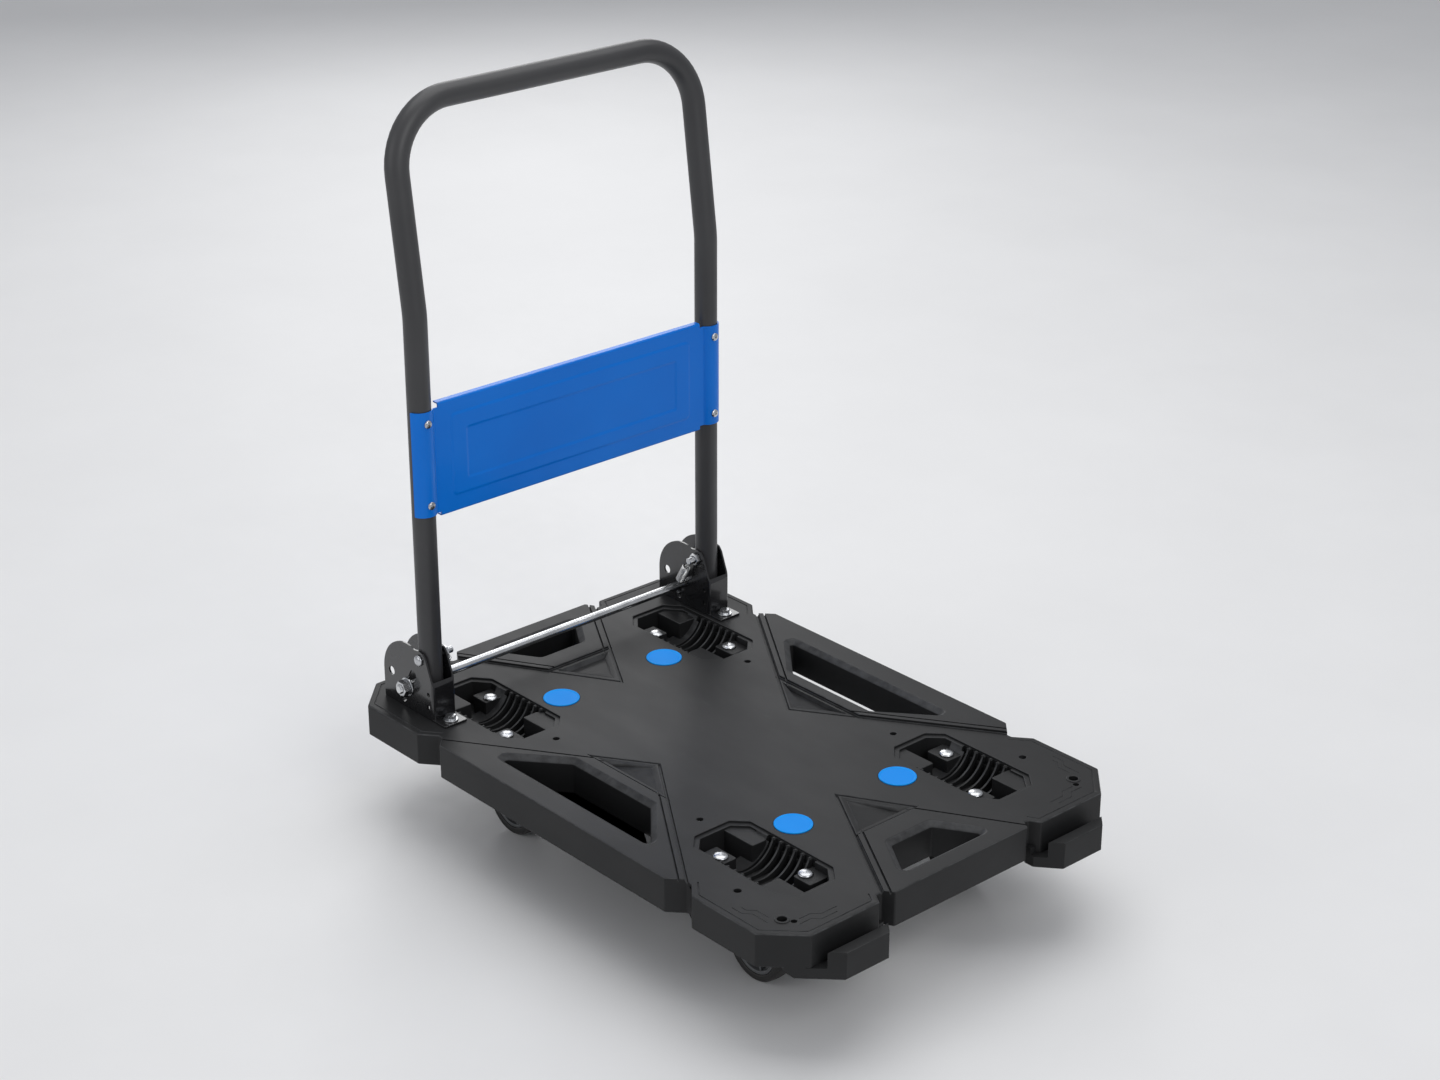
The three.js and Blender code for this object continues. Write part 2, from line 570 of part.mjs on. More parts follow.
function footBoltBody(x, sideSign) {
  const y = sideSign * LEG_Y;
  const seat = GAP + CHANNEL_WALL + GAP;
  const under = -SKIN - GAP;
  return join(
    bar('z', [x, y, seat], 8, 1.4, 12),
    bar('z', [x, y, seat + 1.2], 5.7, 4.6, 6),
    bar('z', [x, y, under - 7], 3, seat - under + 8, 8),
    bar('z', [x, y, under - 5.2], 6, 5.2, 6),
  );
}

// ---------------------------------------------------------------- casters
// Pieces of a caster in a frame on the floor under the middle of its plate.
const PLATE_TOP = DECK_TOP - SKIRT_DEPTH - GAP;
const PLATE_LOW = PLATE_TOP - FORK_SHEET;
const CROWN_TOP = PLATE_LOW - 5.5;
const CASTER_CORNERS = [[-1, -1], [-1, 1], [1, -1], [1, 1]].map(([x, y]) =>
  [x * CASTER_BOLT_X, y * CASTER_BOLT_Y]);

const plateHoles = () => CASTER_CORNERS.map(([x, y]) =>
  bar('z', [x, y, PLATE_LOW - OVERRUN], AXLE_RADIUS + GAP, FORK_SHEET + 2 * OVERRUN, 10));

const topPlate = () => block(-PLATE_LENGTH / 2, PLATE_LENGTH / 2, -PLATE_WIDTH / 2, PLATE_WIDTH / 2,
  PLATE_LOW, PLATE_TOP);

function forkLegs(outline) {
  return [-FORK_INNER - FORK_SHEET, FORK_INNER].map((y) => prismY(outline, y, y + FORK_SHEET));
}

const axleHole = (x) => bar('y', [x, -30, WHEEL_RADIUS], AXLE_RADIUS + 0.3, 60, 12);

function fixedForkBody() {
  const legs = forkLegs([[-30, PLATE_TOP - 1], [-30, 90], [-13, 38], [-9, 29], [9, 29], [13, 38],
    [30, 90], [30, PLATE_TOP - 1]]);
  return cut(join(topPlate(), ...legs), axleHole(0), ...plateHoles());
}

function swivelPlateBody() {
  const race = bar('z', [0, 0, CROWN_TOP + GAP], 26, PLATE_LOW - CROWN_TOP, 24);
  const pin = bar('z', [0, 0, CROWN_TOP - OVERRUN], KINGPIN_RADIUS + GAP, 14, 16);
  return cut(join(topPlate(), race), pin, ...plateHoles());
}

function swivelForkBody() {
  const crown = bar('z', [0, 0, CROWN_TOP - 4], 27, 4, 24);
  const top = block(-24, 26, -FORK_INNER - 1, FORK_INNER + 1, CROWN_TOP - 4, CROWN_TOP);
  const legs = forkLegs([[-24, CROWN_TOP], [-24, CROWN_TOP - 10], [10, 60], [20, 34], [27, 26], [37, 26],
    [44, 34], [44, 46], [26, CROWN_TOP]]);
  const pin = bar('z', [0, 0, CROWN_TOP - 6], KINGPIN_RADIUS + GAP, 8, 16);
  return cut(join(crown, top, ...legs), pin, axleHole(TRAIL));
}

function kingpinBody() {
  return join(bar('z', [0, 0, CROWN_TOP - 7], KINGPIN_RADIUS, PLATE_TOP - CROWN_TOP + 6.5, 16),
    bar('z', [0, 0, CROWN_TOP - 8], 10, 4 - GAP, 16));
}

const turned = (profile, sides) => solid(new THREE.LatheGeometry(asPoints([...profile, profile[0]]), sides));

const RIM_RADIUS = 29;

function tyreBody() {
  const inner = RIM_RADIUS;
  const edge = WHEEL_HALF;
  return turned([[inner, -edge + 1], [34, -edge], [36.6, -edge + 2.4], [WHEEL_RADIUS, -5],
    [WHEEL_RADIUS, 5], [36.6, edge - 2.4], [34, edge], [inner, edge - 1]], 20);
}

function wheelCoreBody() {
  const rim = RIM_RADIUS - GAP;
  const hub = FORK_INNER - GAP - 0.2;
  const bore = AXLE_RADIUS + GAP;
  return turned([[bore, -hub], [9, -hub], [10, -4], [24, -3], [25, -11], [rim, -11],
    [rim, 11], [25, 11], [24, 3], [10, 4], [9, hub], [bore, hub]], 20);
}

function axleBody() {
  const end = FORK_INNER + FORK_SHEET + GAP;
  return join(bar('y', [0, -end - 1, 0], AXLE_RADIUS, 2 * end + 5, 12),
    bar('y', [0, -end - 4.5, 0], 6.5, 4.5, 6),
    bar('y', [0, end, 0], 6.5, 5.5, 6));
}

function casterBoltBody() {
  const seat = DECK_TOP - BOLT_LEDGE + GAP;
  const nutTop = PLATE_LOW - GAP;
  return join(bar('z', [0, 0, seat], 8, 3.4, 12),
    bar('z', [0, 0, nutTop - 8], AXLE_RADIUS, seat - nutTop + 9, 8),
    bar('z', [0, 0, nutTop - 6], 7, 6, 6));
}

// ---------------------------------------------------------------- everything in its place
function addDeck() {
  add(deckFrame, 'deck', deckBody(), 'deck');
  for (const [end, endSign] of ENDS) {
    for (const [side, sideSign] of SIDES) {
      add(deckFrame, `grip_pad_${end}_${side}`, padBody(endSign * PAD_X, sideSign * PAD_Y), 'blue');
    }
  }
}

function addHandle() {
  add(handleFrame, 'handle_tube', tubeBody(), 'black');
  add(handleFrame, 'panel', panelBody(), 'blue');
  for (const [side, sideSign] of SIDES) {
    add(handleFrame, `tail_plug_${side}`, plugBody(sideSign), 'deck');
  }
  PANEL_SCREWS.forEach(([y, z]) => {
    const place = `${y > 0 ? 'left' : 'right'}_${z > PANEL_BOTTOM + PANEL_HEIGHT / 2 ? 'top' : 'bottom'}`;
    add(handleFrame, `panel_screw_${place}`, panelScrewBody(y, z), 'zinc');
  });
}

function addLock() {
  const barFrame = new THREE.Group();
  const [barX, barZ] = slotPoint(BAR_REST);
  barFrame.position.set(barX, 0, barZ);
  handleFrame.add(barFrame);
  const barHalf = LEG_Y + CHANNEL_HALF + 13;
  add(barFrame, 'lock_bar', bar('y', [0, -barHalf, 0], BAR_RADIUS, 2 * barHalf, 20), 'zinc');
  for (const [side, sideSign] of SIDES) {
    const washer = CHANNEL_HALF + GAP;
    const nut = washer + 1.8 + GAP;
    const disc = cut(bar('y', [0, outward(sideSign, washer, 1.8), 0], 10.5, 1.8, 20),
      bar('y', [0, outward(sideSign, washer, 1.8) - OVERRUN, 0], BAR_RADIUS + GAP, 6, 16));
    add(barFrame, `bar_washer_${side}`, disc, 'zinc');
    add(barFrame, `bar_nut_${side}`, nutBody(outward(sideSign, nut, 8), 8, 9, BAR_RADIUS + GAP), 'zinc');
    add(deckFrame, `pivot_bracket_${side}`, bracketBody(sideSign), 'black');
    add(handleFrame, `pivot_bolt_${side}`, pivotBoltBody(sideSign), 'zinc');
    add(handleFrame, `pivot_nut_${side}`,
      nutBody(inward(sideSign, CHANNEL_HALF + GAP, 5), 5, 7.2, PIVOT_BOLT_RADIUS + GAP), 'zinc');
    add(handleFrame, `lock_spring_${side}`, springBody(sideSign), 'zinc');
    FOOT_BOLTS.forEach((x, i) => {
      add(deckFrame, `bracket_bolt_${i ? 'rear' : 'front'}_${side}`, footBoltBody(x, sideSign), 'zinc');
    });
  }
}

function addWheel(frame, name, x) {
  const axle = new THREE.Group();
  axle.position.set(x, 0, WHEEL_RADIUS);
  frame.add(axle);
  add(axle, `tyre_${name}`, tyreBody(), 'tyre');
  add(axle, `wheel_core_${name}`, wheelCoreBody(), 'core');
  add(axle, `axle_${name}`, axleBody(), 'zinc');
}

function addCasters() {
  for (const [end, endSign] of ENDS) {
    for (const [side, sideSign] of SIDES) {
      const name = `${end}_${side}`;
      const frame = new THREE.Group();
      frame.position.set(-HOOK_REACH / 2 + endSign * NEST_X, sideSign * NEST_Y, 0);
      cart.add(frame);
      if (endSign > 0) {
        add(frame, `fixed_fork_${side}`, fixedForkBody(), 'zinc');
      } else {
        add(frame, `swivel_plate_${side}`, swivelPlateBody(), 'zinc');
        add(frame, `swivel_fork_${side}`, swivelForkBody(), 'zinc');
        add(frame, `kingpin_${side}`, kingpinBody(), 'zinc');
      }
      addWheel(frame, name, endSign > 0 ? 0 : TRAIL);
      [['inner', -1], ['outer', 1]].forEach(([place, sign]) => {
        const bolt = add(frame, `caster_bolt_${name}_${place}`, casterBoltBody(), 'zinc');
        bolt.position.set(-endSign * sign * CASTER_BOLT_X, sideSign * sign * CASTER_BOLT_Y, 0);
      });
    }
  }
}

addDeck();
addHandle();
addLock();
addCasters();

export default cart;
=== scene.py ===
"""Folding platform cart: a moulded deck on casters, a fold-down tube handle with a pressed panel, a sprung
lock bar, hand slots, wheel nests and coupling hooks. Shapes are built in millimetres and placed in metres."""
import json
import math

import bmesh
import bpy
from mathutils import Matrix, Vector


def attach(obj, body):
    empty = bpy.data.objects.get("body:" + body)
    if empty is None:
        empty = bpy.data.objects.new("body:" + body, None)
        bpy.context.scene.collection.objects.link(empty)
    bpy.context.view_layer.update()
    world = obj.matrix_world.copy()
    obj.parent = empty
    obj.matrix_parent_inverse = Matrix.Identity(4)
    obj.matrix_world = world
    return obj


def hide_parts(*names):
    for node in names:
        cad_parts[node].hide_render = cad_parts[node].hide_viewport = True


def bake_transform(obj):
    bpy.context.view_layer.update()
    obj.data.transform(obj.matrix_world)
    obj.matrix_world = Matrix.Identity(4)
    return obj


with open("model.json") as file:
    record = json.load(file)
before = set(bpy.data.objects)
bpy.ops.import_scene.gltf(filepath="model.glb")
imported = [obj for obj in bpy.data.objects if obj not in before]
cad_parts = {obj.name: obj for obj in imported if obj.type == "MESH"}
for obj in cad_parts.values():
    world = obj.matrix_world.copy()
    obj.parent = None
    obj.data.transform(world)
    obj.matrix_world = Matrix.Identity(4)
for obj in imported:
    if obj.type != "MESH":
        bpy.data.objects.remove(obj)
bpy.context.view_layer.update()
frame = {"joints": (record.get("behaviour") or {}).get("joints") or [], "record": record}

MM = 0.001
SIDES = (("left", 1), ("right", -1))
ENDS = (("front", 1), ("rear", -1))
MOUNTS = {mount["name"]: Vector(mount["pos_m"]) for mount in frame["record"]["mounts"]}
JOINTS = {joint["name"]: joint for joint in frame["joints"]}
DECK_AT = MOUNTS["load_surface"]
PIVOT_AT = Vector(JOINTS["handle_fold"]["pos_m"])


# ---- outlines (x, y) in millimetres
def fillet(line, radius, steps=3):
    """Rounds every corner of a closed outline, apart from nearly straight ones."""
    out = []
    for i, corner in enumerate(line):
        here = Vector(corner)
        a = Vector(line[i - 1]) - here
        b = Vector(line[(i + 1) % len(line)]) - here
        half = a.angle(b) / 2
        if half > math.radians(88):
            out.append((here.x, here.y))
            continue
        r = min(radius, 0.45 * min(a.length, b.length) * math.tan(half))
        centre = here + (a.normalized() + b.normalized()).normalized() * (r / math.sin(half))
        first = here + a.normalized() * (r / math.tan(half)) - centre
        last = here + b.normalized() * (r / math.tan(half)) - centre
        turn = first.angle_signed(last)
        for k in range(steps + 1):
            spoke = first.copy()
            spoke.rotate(Matrix.Rotation(-turn * k / steps, 2))
            out.append((centre.x + spoke.x, centre.y + spoke.y))
    return out


def offset(line, distance):
    """An open line moved sideways, to the right of its direction, with mitred corners."""
    points = [Vector(p) for p in line]
    normals = [Vector((b.y - a.y, a.x - b.x)).normalized() for a, b in zip(points, points[1:])]
    moved = []
    for i, point in enumerate(points):
        before, after = normals[max(i - 1, 0)], normals[min(i, len(normals) - 1)]
        mitre = (before + after).normalized()
        reach = distance / max(mitre.dot(after), 0.3)
        moved.append((point.x + mitre.x * reach, point.y + mitre.y * reach))
    return moved


def grow(line, distance):
    """A closed anticlockwise outline grown outwards."""
    return offset([line[-1], *line, line[0]], distance)[1:-1]


def ribbon(line, distance, width):
    """Closed outline of a strip along an open line, at a distance to the right of it."""
    return offset(line, distance + width / 2) + offset(line, distance - width / 2)[::-1]


def flip_x(line):
    return [(-x, y) for x, y in line][::-1]


def flip_y(line):
    return [(x, -y) for x, y in line][::-1]


def area(line):
    return sum(a[0] * b[1] - b[0] * a[1] for a, b in zip(line, line[1:] + line[:1])) / 2


def wound(line):
    """The same outline, anticlockwise."""
    return line if area(line) > 0 else line[::-1]


def mirrored(quarter):
    """Whole outline from its part in the first quadrant."""
    back = quarter[::-1]
    return (quarter + [(-x, y) for x, y in back] + [(-x, -y) for x, y in quarter]
            + [(x, -y) for x, y in back])


def circle(x, y, radius, sides=32):
    angles = [2 * math.pi * k / sides for k in range(sides)]
    return [(x + radius * math.cos(a), y + radius * math.sin(a)) for a in angles]


def box_line(x0, x1, y0, y1):
    return [(x0, y0), (x1, y0), (x1, y1), (x0, y1)]


# ---- meshes
def added(name, data):
    """A new object in the scene."""
    obj = bpy.data.objects.new(name, data)
    bpy.context.scene.collection.objects.link(obj)
    return obj


def mesh_from(verts, faces):
    mesh = bpy.data.meshes.new("shape")
    mesh.from_pydata([tuple(v) for v in verts], [], faces)
    mesh.validate()
    return mesh


def loft(rings, closed=False):
    """Skins rings of equal count, anticlockwise seen from the last; closed joins the last to the first."""
    count = len(rings[0])
    verts = [p for ring in rings for p in ring]
    pairs = list(zip(range(len(rings)), range(1, len(rings))))
    if closed:
        pairs.append((len(rings) - 1, 0))
    faces = [(a * count + i, a * count + (i + 1) % count, b * count + (i + 1) % count, b * count + i)
             for a, b in pairs for i in range(count)]
    if not closed:
        faces.append(tuple(range(count))[::-1])
        faces.append(tuple((len(rings) - 1) * count + i for i in range(count)))
    return mesh_from(verts, faces)


def stack(sections):
    """Solid through outlines at heights: [(outline, z), ...] from low to high."""
    return loft([[(x, y, z) for x, y in line] for line, z in sections])


def quarter_steps(radius, steps=3):
    """(inset, height below the edge) along a rounded edge, from its side to its top."""
    angles = [math.pi / 2 * k / steps for k in range(steps + 1)]
    return [(radius * (1 - math.cos(a)), radius * (1 - math.sin(a))) for a in angles]


def slab(line, low, high, top=0.0, bottom=0.0):
    """Plate with rounded upper and lower edges."""
    line = wound(line)
    lower, upper = [(line, low)], [(line, high)]
    if bottom:
        lower = [(grow(line, -inset), low + depth) for inset, depth in reversed(quarter_steps(bottom))]
    if top:
        upper = [(grow(line, -inset), high - depth) for inset, depth in quarter_steps(top)]
    return stack(lower + upper)


def well(line, floor, rim, mouth=0.8, over=3.0):
    """Cutter for a pocket whose mouth is rounded over where it meets the surface at height rim."""
    line = wound(line)
    flare = [(grow(line, inset), rim - depth) for inset, depth in quarter_steps(mouth)]
    return stack([(line, floor), *flare, (grow(line, mouth), rim + over)])


def groove(line, distance, width, depth, rim=0.0):
    """Cutter for a groove along an open line, with a narrower floor and a rounded mouth."""
    levels = [(0.55 * width, -depth), (0.8 * width, -0.8 * depth), (width, -0.3 * depth),
              (1.2 * width, -0.08 * depth), (1.45 * width, 0.02), (1.45 * width, 3.0)]
    return stack([(wound(ribbon(line, distance, w)), rim + z) for w, z in levels])


def turned(profile, sides=48, axis="y"):
    """Body of revolution about an axis from a closed profile of (radius, along); it may touch the axis."""
    rings = []
    for k in range(sides):
        a = 2 * math.pi * k / sides
        c, s = math.cos(a), math.sin(a)
        if axis == "y":
            rings.append([(r * s, t, r * c) for r, t in profile])
        elif axis == "z":
            rings.append([(r * c, r * s, t) for r, t in profile])
        else:
            rings.append([(t, r * c, r * s) for r, t in profile])
    return outward(loft(rings, closed=True))


def there_and_back(half):
    """A profile from its half with along below 0, and the same half mirrored."""
    return half + [(radius, -along) for radius, along in half[::-1]]


def outward(mesh):
    """Closes a mesh on its axis or seams, without loose edges, and turns its faces out."""
    bm = bmesh.new()
    bm.from_mesh(mesh)
    bmesh.ops.remove_doubles(bm, verts=bm.verts, dist=1e-5)
    bmesh.ops.delete(bm, geom=[edge for edge in bm.edges if edge.is_wire], context="EDGES")
    bmesh.ops.recalc_face_normals(bm, faces=bm.faces)
    bm.to_mesh(mesh)
    bm.free()
    return mesh


def moved(mesh, x=0.0, y=0.0, z=0.0):
    mesh.transform(Matrix.Translation((x, y, z)))
    return mesh


def lying(mesh):
    """Turns a mesh built over (x, z) outlines, so that what was its height runs along -Y."""
    mesh.transform(Matrix.Rotation(math.pi / 2, 4, "X"))
    return mesh


def carve(base, *steps):
    """Joins and cuts a mesh: steps are ("UNION" or "DIFFERENCE" or "INTERSECT", mesh)."""
    holder = added("carve", base)
    tools = []
    for operation, mesh in steps:
        tools.append(added("tool", mesh))
        modifier = holder.modifiers.new("carve", "BOOLEAN")
        modifier.operation = operation
        modifier.solver = "MANIFOLD"
        modifier.object = tools[-1]
    graph = bpy.context.evaluated_depsgraph_get()
    result = bpy.data.meshes.new_from_object(holder.evaluated_get(graph))
    for item in [holder, *tools]:
        bpy.data.objects.remove(item)
    return result


def cut(base, *meshes):
    return carve(base, *[("DIFFERENCE", mesh) for mesh in meshes])


def join(base, *meshes):
    return carve(base, *[("UNION", mesh) for mesh in meshes])


def piece(name, mesh, at, body, material, nodes, smooth=32.0, bevel=0.0):
    """A finished piece in place of CAD nodes: mesh in millimetres about the point at, in metres.

    It rides on a body, or on none yet where body is empty."""
    mesh.transform(Matrix.Translation(at) @ Matrix.Scale(MM, 4))
    mesh.name = name
    obj = added(name, mesh)
    if bevel:
        modifier = obj.modifiers.new("soft edges", "BEVEL")
        modifier.width = bevel * MM
        modifier.segments = 2
        modifier.limit_method = "ANGLE"
        modifier.angle_limit = math.radians(50)
    mesh.materials.clear()
    mesh.materials.append(material)
    for polygon in mesh.polygons:
        polygon.use_smooth = True
    mesh.set_sharp_from_angle(angle=math.radians(smooth))
    weighted = obj.modifiers.new("weighted normals", "WEIGHTED_NORMAL")
    weighted.mode = "FACE_AREA"
    weighted.keep_sharp = True
    weighted.weight = 60
    if body:
        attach(obj, body)
    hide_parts(*nodes)
    return obj


def zinc_piece(name, mesh, at, body, node):
    piece(name, mesh, at, body, ZINC, [node])


# ---- materials
class Graph:
    """A small builder for procedural surfaces. Coordinates are the shared frame's at rest, in metres."""

    def __init__(self, name):
        self.material = bpy.data.materials.new(name)
        self.material.use_nodes = True
        self.tree = self.material.node_tree
        self.shader = self.tree.nodes["Principled BSDF"]
        self.place = self.node("ShaderNodeTexCoord").outputs["Object"]

    def node(self, kind, **inputs):
        made = self.tree.nodes.new(kind)
        for key, value in inputs.items():
            self.feed(made.inputs[key.replace("_", " ")], value)
        return made

    def feed(self, socket, value):
        if isinstance(value, bpy.types.NodeSocket):
            self.tree.links.new(value, socket)
        else:
            socket.default_value = value

    def noise(self, scale, detail=3.0, stretch=None, roughness=0.55):
        place = self.place
        if stretch:
            place = self.node("ShaderNodeMapping", Vector=place, Scale=stretch).outputs["Vector"]
        return self.node("ShaderNodeTexNoise", Vector=place, Scale=scale, Detail=detail,
                         Roughness=roughness).outputs["Fac"]

    def levels(self, value, low, high, to_low=0.0, to_high=1.0):
        made = self.node("ShaderNodeMapRange", Value=value)
        for key, number in zip(("From Min", "From Max", "To Min", "To Max"), (low, high, to_low, to_high)):
            made.inputs[key].default_value = number
        return made.outputs["Result"]

    def math(self, operation, a, b=0.0, c=0.0):
        made = self.tree.nodes.new("ShaderNodeMath")
        made.operation = operation
        for socket, value in zip(made.inputs, (a, b, c)):
            self.feed(socket, value)
        return made.outputs[0]

    def mix(self, factor, a, b):
        made = self.tree.nodes.new("ShaderNodeMix")
        made.data_type = "RGBA"
        self.feed(made.inputs[0], factor)
        for socket, value in zip((made.inputs[6], made.inputs[7]), (a, b)):
            self.feed(socket, value if isinstance(value, bpy.types.NodeSocket) else (*value, 1.0))
        return made.outputs[2]

    def bump(self, height, depth_mm, strength=1.0, normal=None):
        made = self.node("ShaderNodeBump", Height=height, Strength=strength)
        made.inputs["Distance"].default_value = depth_mm * MM
        if normal is not None:
            self.tree.links.new(normal, made.inputs["Normal"])
        return made.outputs["Normal"]

    def upward(self):
        """Upward part of the surface's direction at rest: 1 on a level top, 0 on a wall, -1 underneath."""
        normal = self.node("ShaderNodeTexCoord").outputs["Normal"]
        split = self.tree.nodes.new("ShaderNodeSeparateXYZ")
        self.tree.links.new(normal, split.inputs[0])
        return split.outputs["Z"]

    def facing_up(self):
        """How much the surface faces up, 0 to 1."""
        return self.levels(self.upward(), 0.55, 0.95)

    def chamfers(self):
        """Faces between wall and level, such as rounded rims and funnel slopes: their lighter colour is rub
        wear and painted sheen.
        """
        up = self.math("ABSOLUTE", self.upward())
        return self.math("MULTIPLY", self.levels(up, 0.22, 0.45), self.levels(up, 0.985, 0.88))

    def finish(self, colour, roughness, normal, **fixed):
        self.feed(self.shader.inputs["Base Color"], colour)
        self.feed(self.shader.inputs["Roughness"], roughness)
        self.tree.links.new(normal, self.shader.inputs["Normal"])
        for key, value in fixed.items():
            self.shader.inputs[key.replace("_", " ")].default_value = value
        return self.material


def plastic(name, dark, light, edge, roughness, grain=1100.0, depth=0.05, dust=0.25, **fixed):
    """Moulded plastic: spark-eroded grain, faint flow marks, rub wear and painted sheen on rims, dust on what
    faces up.
    """
    g = Graph(name)
    cloud = g.noise(7.0, 4.0)
    flow = g.noise(26.0, 5.0, stretch=(0.35, 1.0, 1.0))
    colour = g.mix(g.levels(cloud, 0.35, 0.68), dark, light)
    scuff = g.levels(g.noise(60.0, 8.0, stretch=(0.25, 1.0, 1.0), roughness=0.75), 0.60, 0.78)
    dusty = g.math("MULTIPLY", g.math("MULTIPLY", scuff, g.facing_up()), dust)
    colour = g.mix(dusty, colour, tuple(min(1.0, c * 3.0 + 0.02) for c in light))
    rub_and_sheen = g.levels(g.noise(90.0, 4.0), 0.3, 0.6, 0.25, 0.9)
    # painted sheen: faces lightened by their slope alone, as light falls on them, together with rub wear on
    # the rims
    colour = g.mix(g.math("MULTIPLY", g.chamfers(), rub_and_sheen), colour, edge)
    rough = g.math("ADD", g.levels(flow, 0.3, 0.7, roughness - 0.025, roughness + 0.025),
                   g.math("MULTIPLY", scuff, 0.05))
    fine = g.bump(g.noise(grain, 2.0), depth, 0.8)
    return g.finish(colour, rough, g.bump(flow, 0.05, 0.25, fine), **fixed)


def painted(name, dark, light, rubbed, roughness, peel=420.0, depth=0.03, wear=0.35, coat=0.0,
            coat_rough=0.12, **fixed):
    """Sprayed coat on steel: orange peel, soft tone drift and faint rubbed streaks."""
    g = Graph(name)
    colour = g.mix(g.levels(g.noise(5.0, 3.0), 0.35, 0.66), dark, light)
    smear = g.noise(34.0, 6.0, stretch=(1.0, 0.4, 1.0))
    streaks = g.levels(g.noise(22.0, 7.0, stretch=(1.0, 0.3, 1.0), roughness=0.7), 0.60, 0.80)
    colour = g.mix(g.math("MULTIPLY", streaks, wear), colour, rubbed)
    rough = g.levels(smear, 0.3, 0.7, roughness - 0.05, roughness + 0.07)
    normal = g.bump(g.noise(peel, 2.0), depth, 0.7)
    return g.finish(colour, rough, g.bump(g.noise(12.0, 2.0), 0.3, 0.25, normal),
                    Coat_Weight=coat, Coat_Roughness=coat_rough, **fixed)


def plated(name, dark, light, roughness, grain=(1.0, 1.0, 1.0), scale=320.0, **fixed):
    """Bright zinc plate: drawn lines, cloudy passivation and small dull spots."""
    g = Graph(name)
    colour = g.mix(g.levels(g.noise(48.0, 5.0), 0.35, 0.7), dark, light)
    dull = g.levels(g.noise(170.0, 6.0, roughness=0.7), 0.60, 0.74)
    colour = g.mix(g.math("MULTIPLY", dull, 0.14), colour, tuple(c * 0.6 for c in dark))
    lines = g.noise(scale, 4.0, stretch=grain)
    rough = g.math("ADD", g.levels(lines, 0.25, 0.75, roughness - 0.04, roughness + 0.06),
                   g.math("MULTIPLY", dull, 0.07))
    return g.finish(colour, rough, g.bump(lines, 0.008, 0.4), Metallic=1.0, **fixed)


DECK_PLASTIC = plastic("deck_plastic", (0.0125, 0.0127, 0.0132), (0.0185, 0.0187, 0.0193),
                       (0.060, 0.061, 0.063), 0.50, Specular_IOR_Level=0.24)
CAP_PLASTIC = plastic("cap_plastic", (0.014, 0.014, 0.015), (0.022, 0.022, 0.023), (0.05, 0.05, 0.05), 0.45,
                      dust=0.1)
CORE_PLASTIC = plastic("core_plastic", (0.06, 0.062, 0.066), (0.10, 0.103, 0.108), (0.16, 0.165, 0.17), 0.5,
                       dust=0.2)
PAD_BLUE = plastic("pad_blue", (0.000, 0.265, 0.84), (0.001, 0.31, 0.93), (0.02, 0.42, 0.96), 0.52,
                   grain=1500.0, depth=0.03, dust=0.03, Specular_IOR_Level=0.12)
TYRE_RUBBER = plastic("tyre_rubber", (0.012, 0.012, 0.012), (0.026, 0.025, 0.024), (0.05, 0.048, 0.046), 0.72,
                      grain=700.0, depth=0.08, dust=0.5)
TUBE_BLACK = painted("tube_black", (0.036, 0.036, 0.038), (0.048, 0.048, 0.050), (0.075, 0.075, 0.077), 0.40)
BRACKET_BLACK = painted("bracket_black", (0.007, 0.007, 0.008), (0.011, 0.011, 0.012),
                        (0.024, 0.024, 0.025), 0.24, wear=0.25, coat=0.5, coat_rough=0.08)
PANEL_BLUE = painted("panel_blue", (0.0, 0.165, 0.68), (0.0, 0.190, 0.75), (0.001, 0.215, 0.80), 0.34,
                     peel=300.0, wear=0.2, coat=0.14, coat_rough=0.10, Specular_IOR_Level=0.16)
ZINC = plated("zinc", (0.46, 0.47, 0.49), (0.70, 0.71, 0.72), 0.26)
ROD_ZINC = plated("rod_zinc", (0.56, 0.57, 0.58), (0.76, 0.77, 0.78), 0.20, grain=(1.0, 0.03, 1.0),
                  scale=900.0)
SPRING_STEEL = plated("spring_steel", (0.50, 0.50, 0.50), (0.72, 0.72, 0.71), 0.24, scale=600.0)


# ---- deck, in a frame on the load surface
HALF_LENGTH, HALF_WIDTH = 348, 241
SKIRT, SKIN, PLATEAU = 36, 4, 2.5  # depth of the skirt, thickness of the skin, height of the grip bars
NEST_X, NEST_Y = 211.5, 140
PAD_X, PAD_Y = 184.5, 73.7
LEG_Y = 197
BOLT_X, BOLT_Y = 40, 20
CASTER_BOLTS = ((-BOLT_X, BOLT_Y), (BOLT_X, -BOLT_Y))  # from a nest, towards the nearer end and side
FOOT_BOLTS = (-220, -304)
FIN_START, FIN_PITCH, FIN_COUNT, FIN_HALF = -22, 10.4, 6, 1.1
FIN_HOLLOW = 36  # radius of the round that is cut across the fins
CORNER_HOLE, SECOND_HOLE = (309, 205), (318.5, 198.5)

DECK_OUTLINE = mirrored([
    (HALF_LENGTH, 93), (336, 100), (336, 107), (HALF_LENGTH, 114), (HALF_LENGTH, 204), (311, HALF_WIDTH),
    (221, HALF_WIDTH), (203, 226), (197, 226), (181, HALF_WIDTH)])
SIDE_PLATEAU = [(66, 137), (197, 226), (181, 241), (-181, 241), (-197, 226), (-66, 137)]
END_PLATEAU = [(245, -46), (336, -100), (348, -93), (348, 93), (336, 100), (245, 46)]
SIDE_SLOT = [(62, 157), (121, 207), (-121, 207), (-62, 157)]
END_SLOT = [(278, -28), (322, -56), (322, 56), (278, 28)]
SIDE_VEE = [(201, 229), (0, 92), (-201, 229)]
END_VEE = [(341, -103), (170, 0), (341, 103)]
SIDE_POCKET = [(0, 97), (51, 131), (-51, 131)]
END_POCKET = [(178, 0), (238, -37), (238, 37)]
LOBE_LINE = [(205, 219), (223.5, 234), (308, 234), (341, 201), (341, 118), (330, 111.5)]
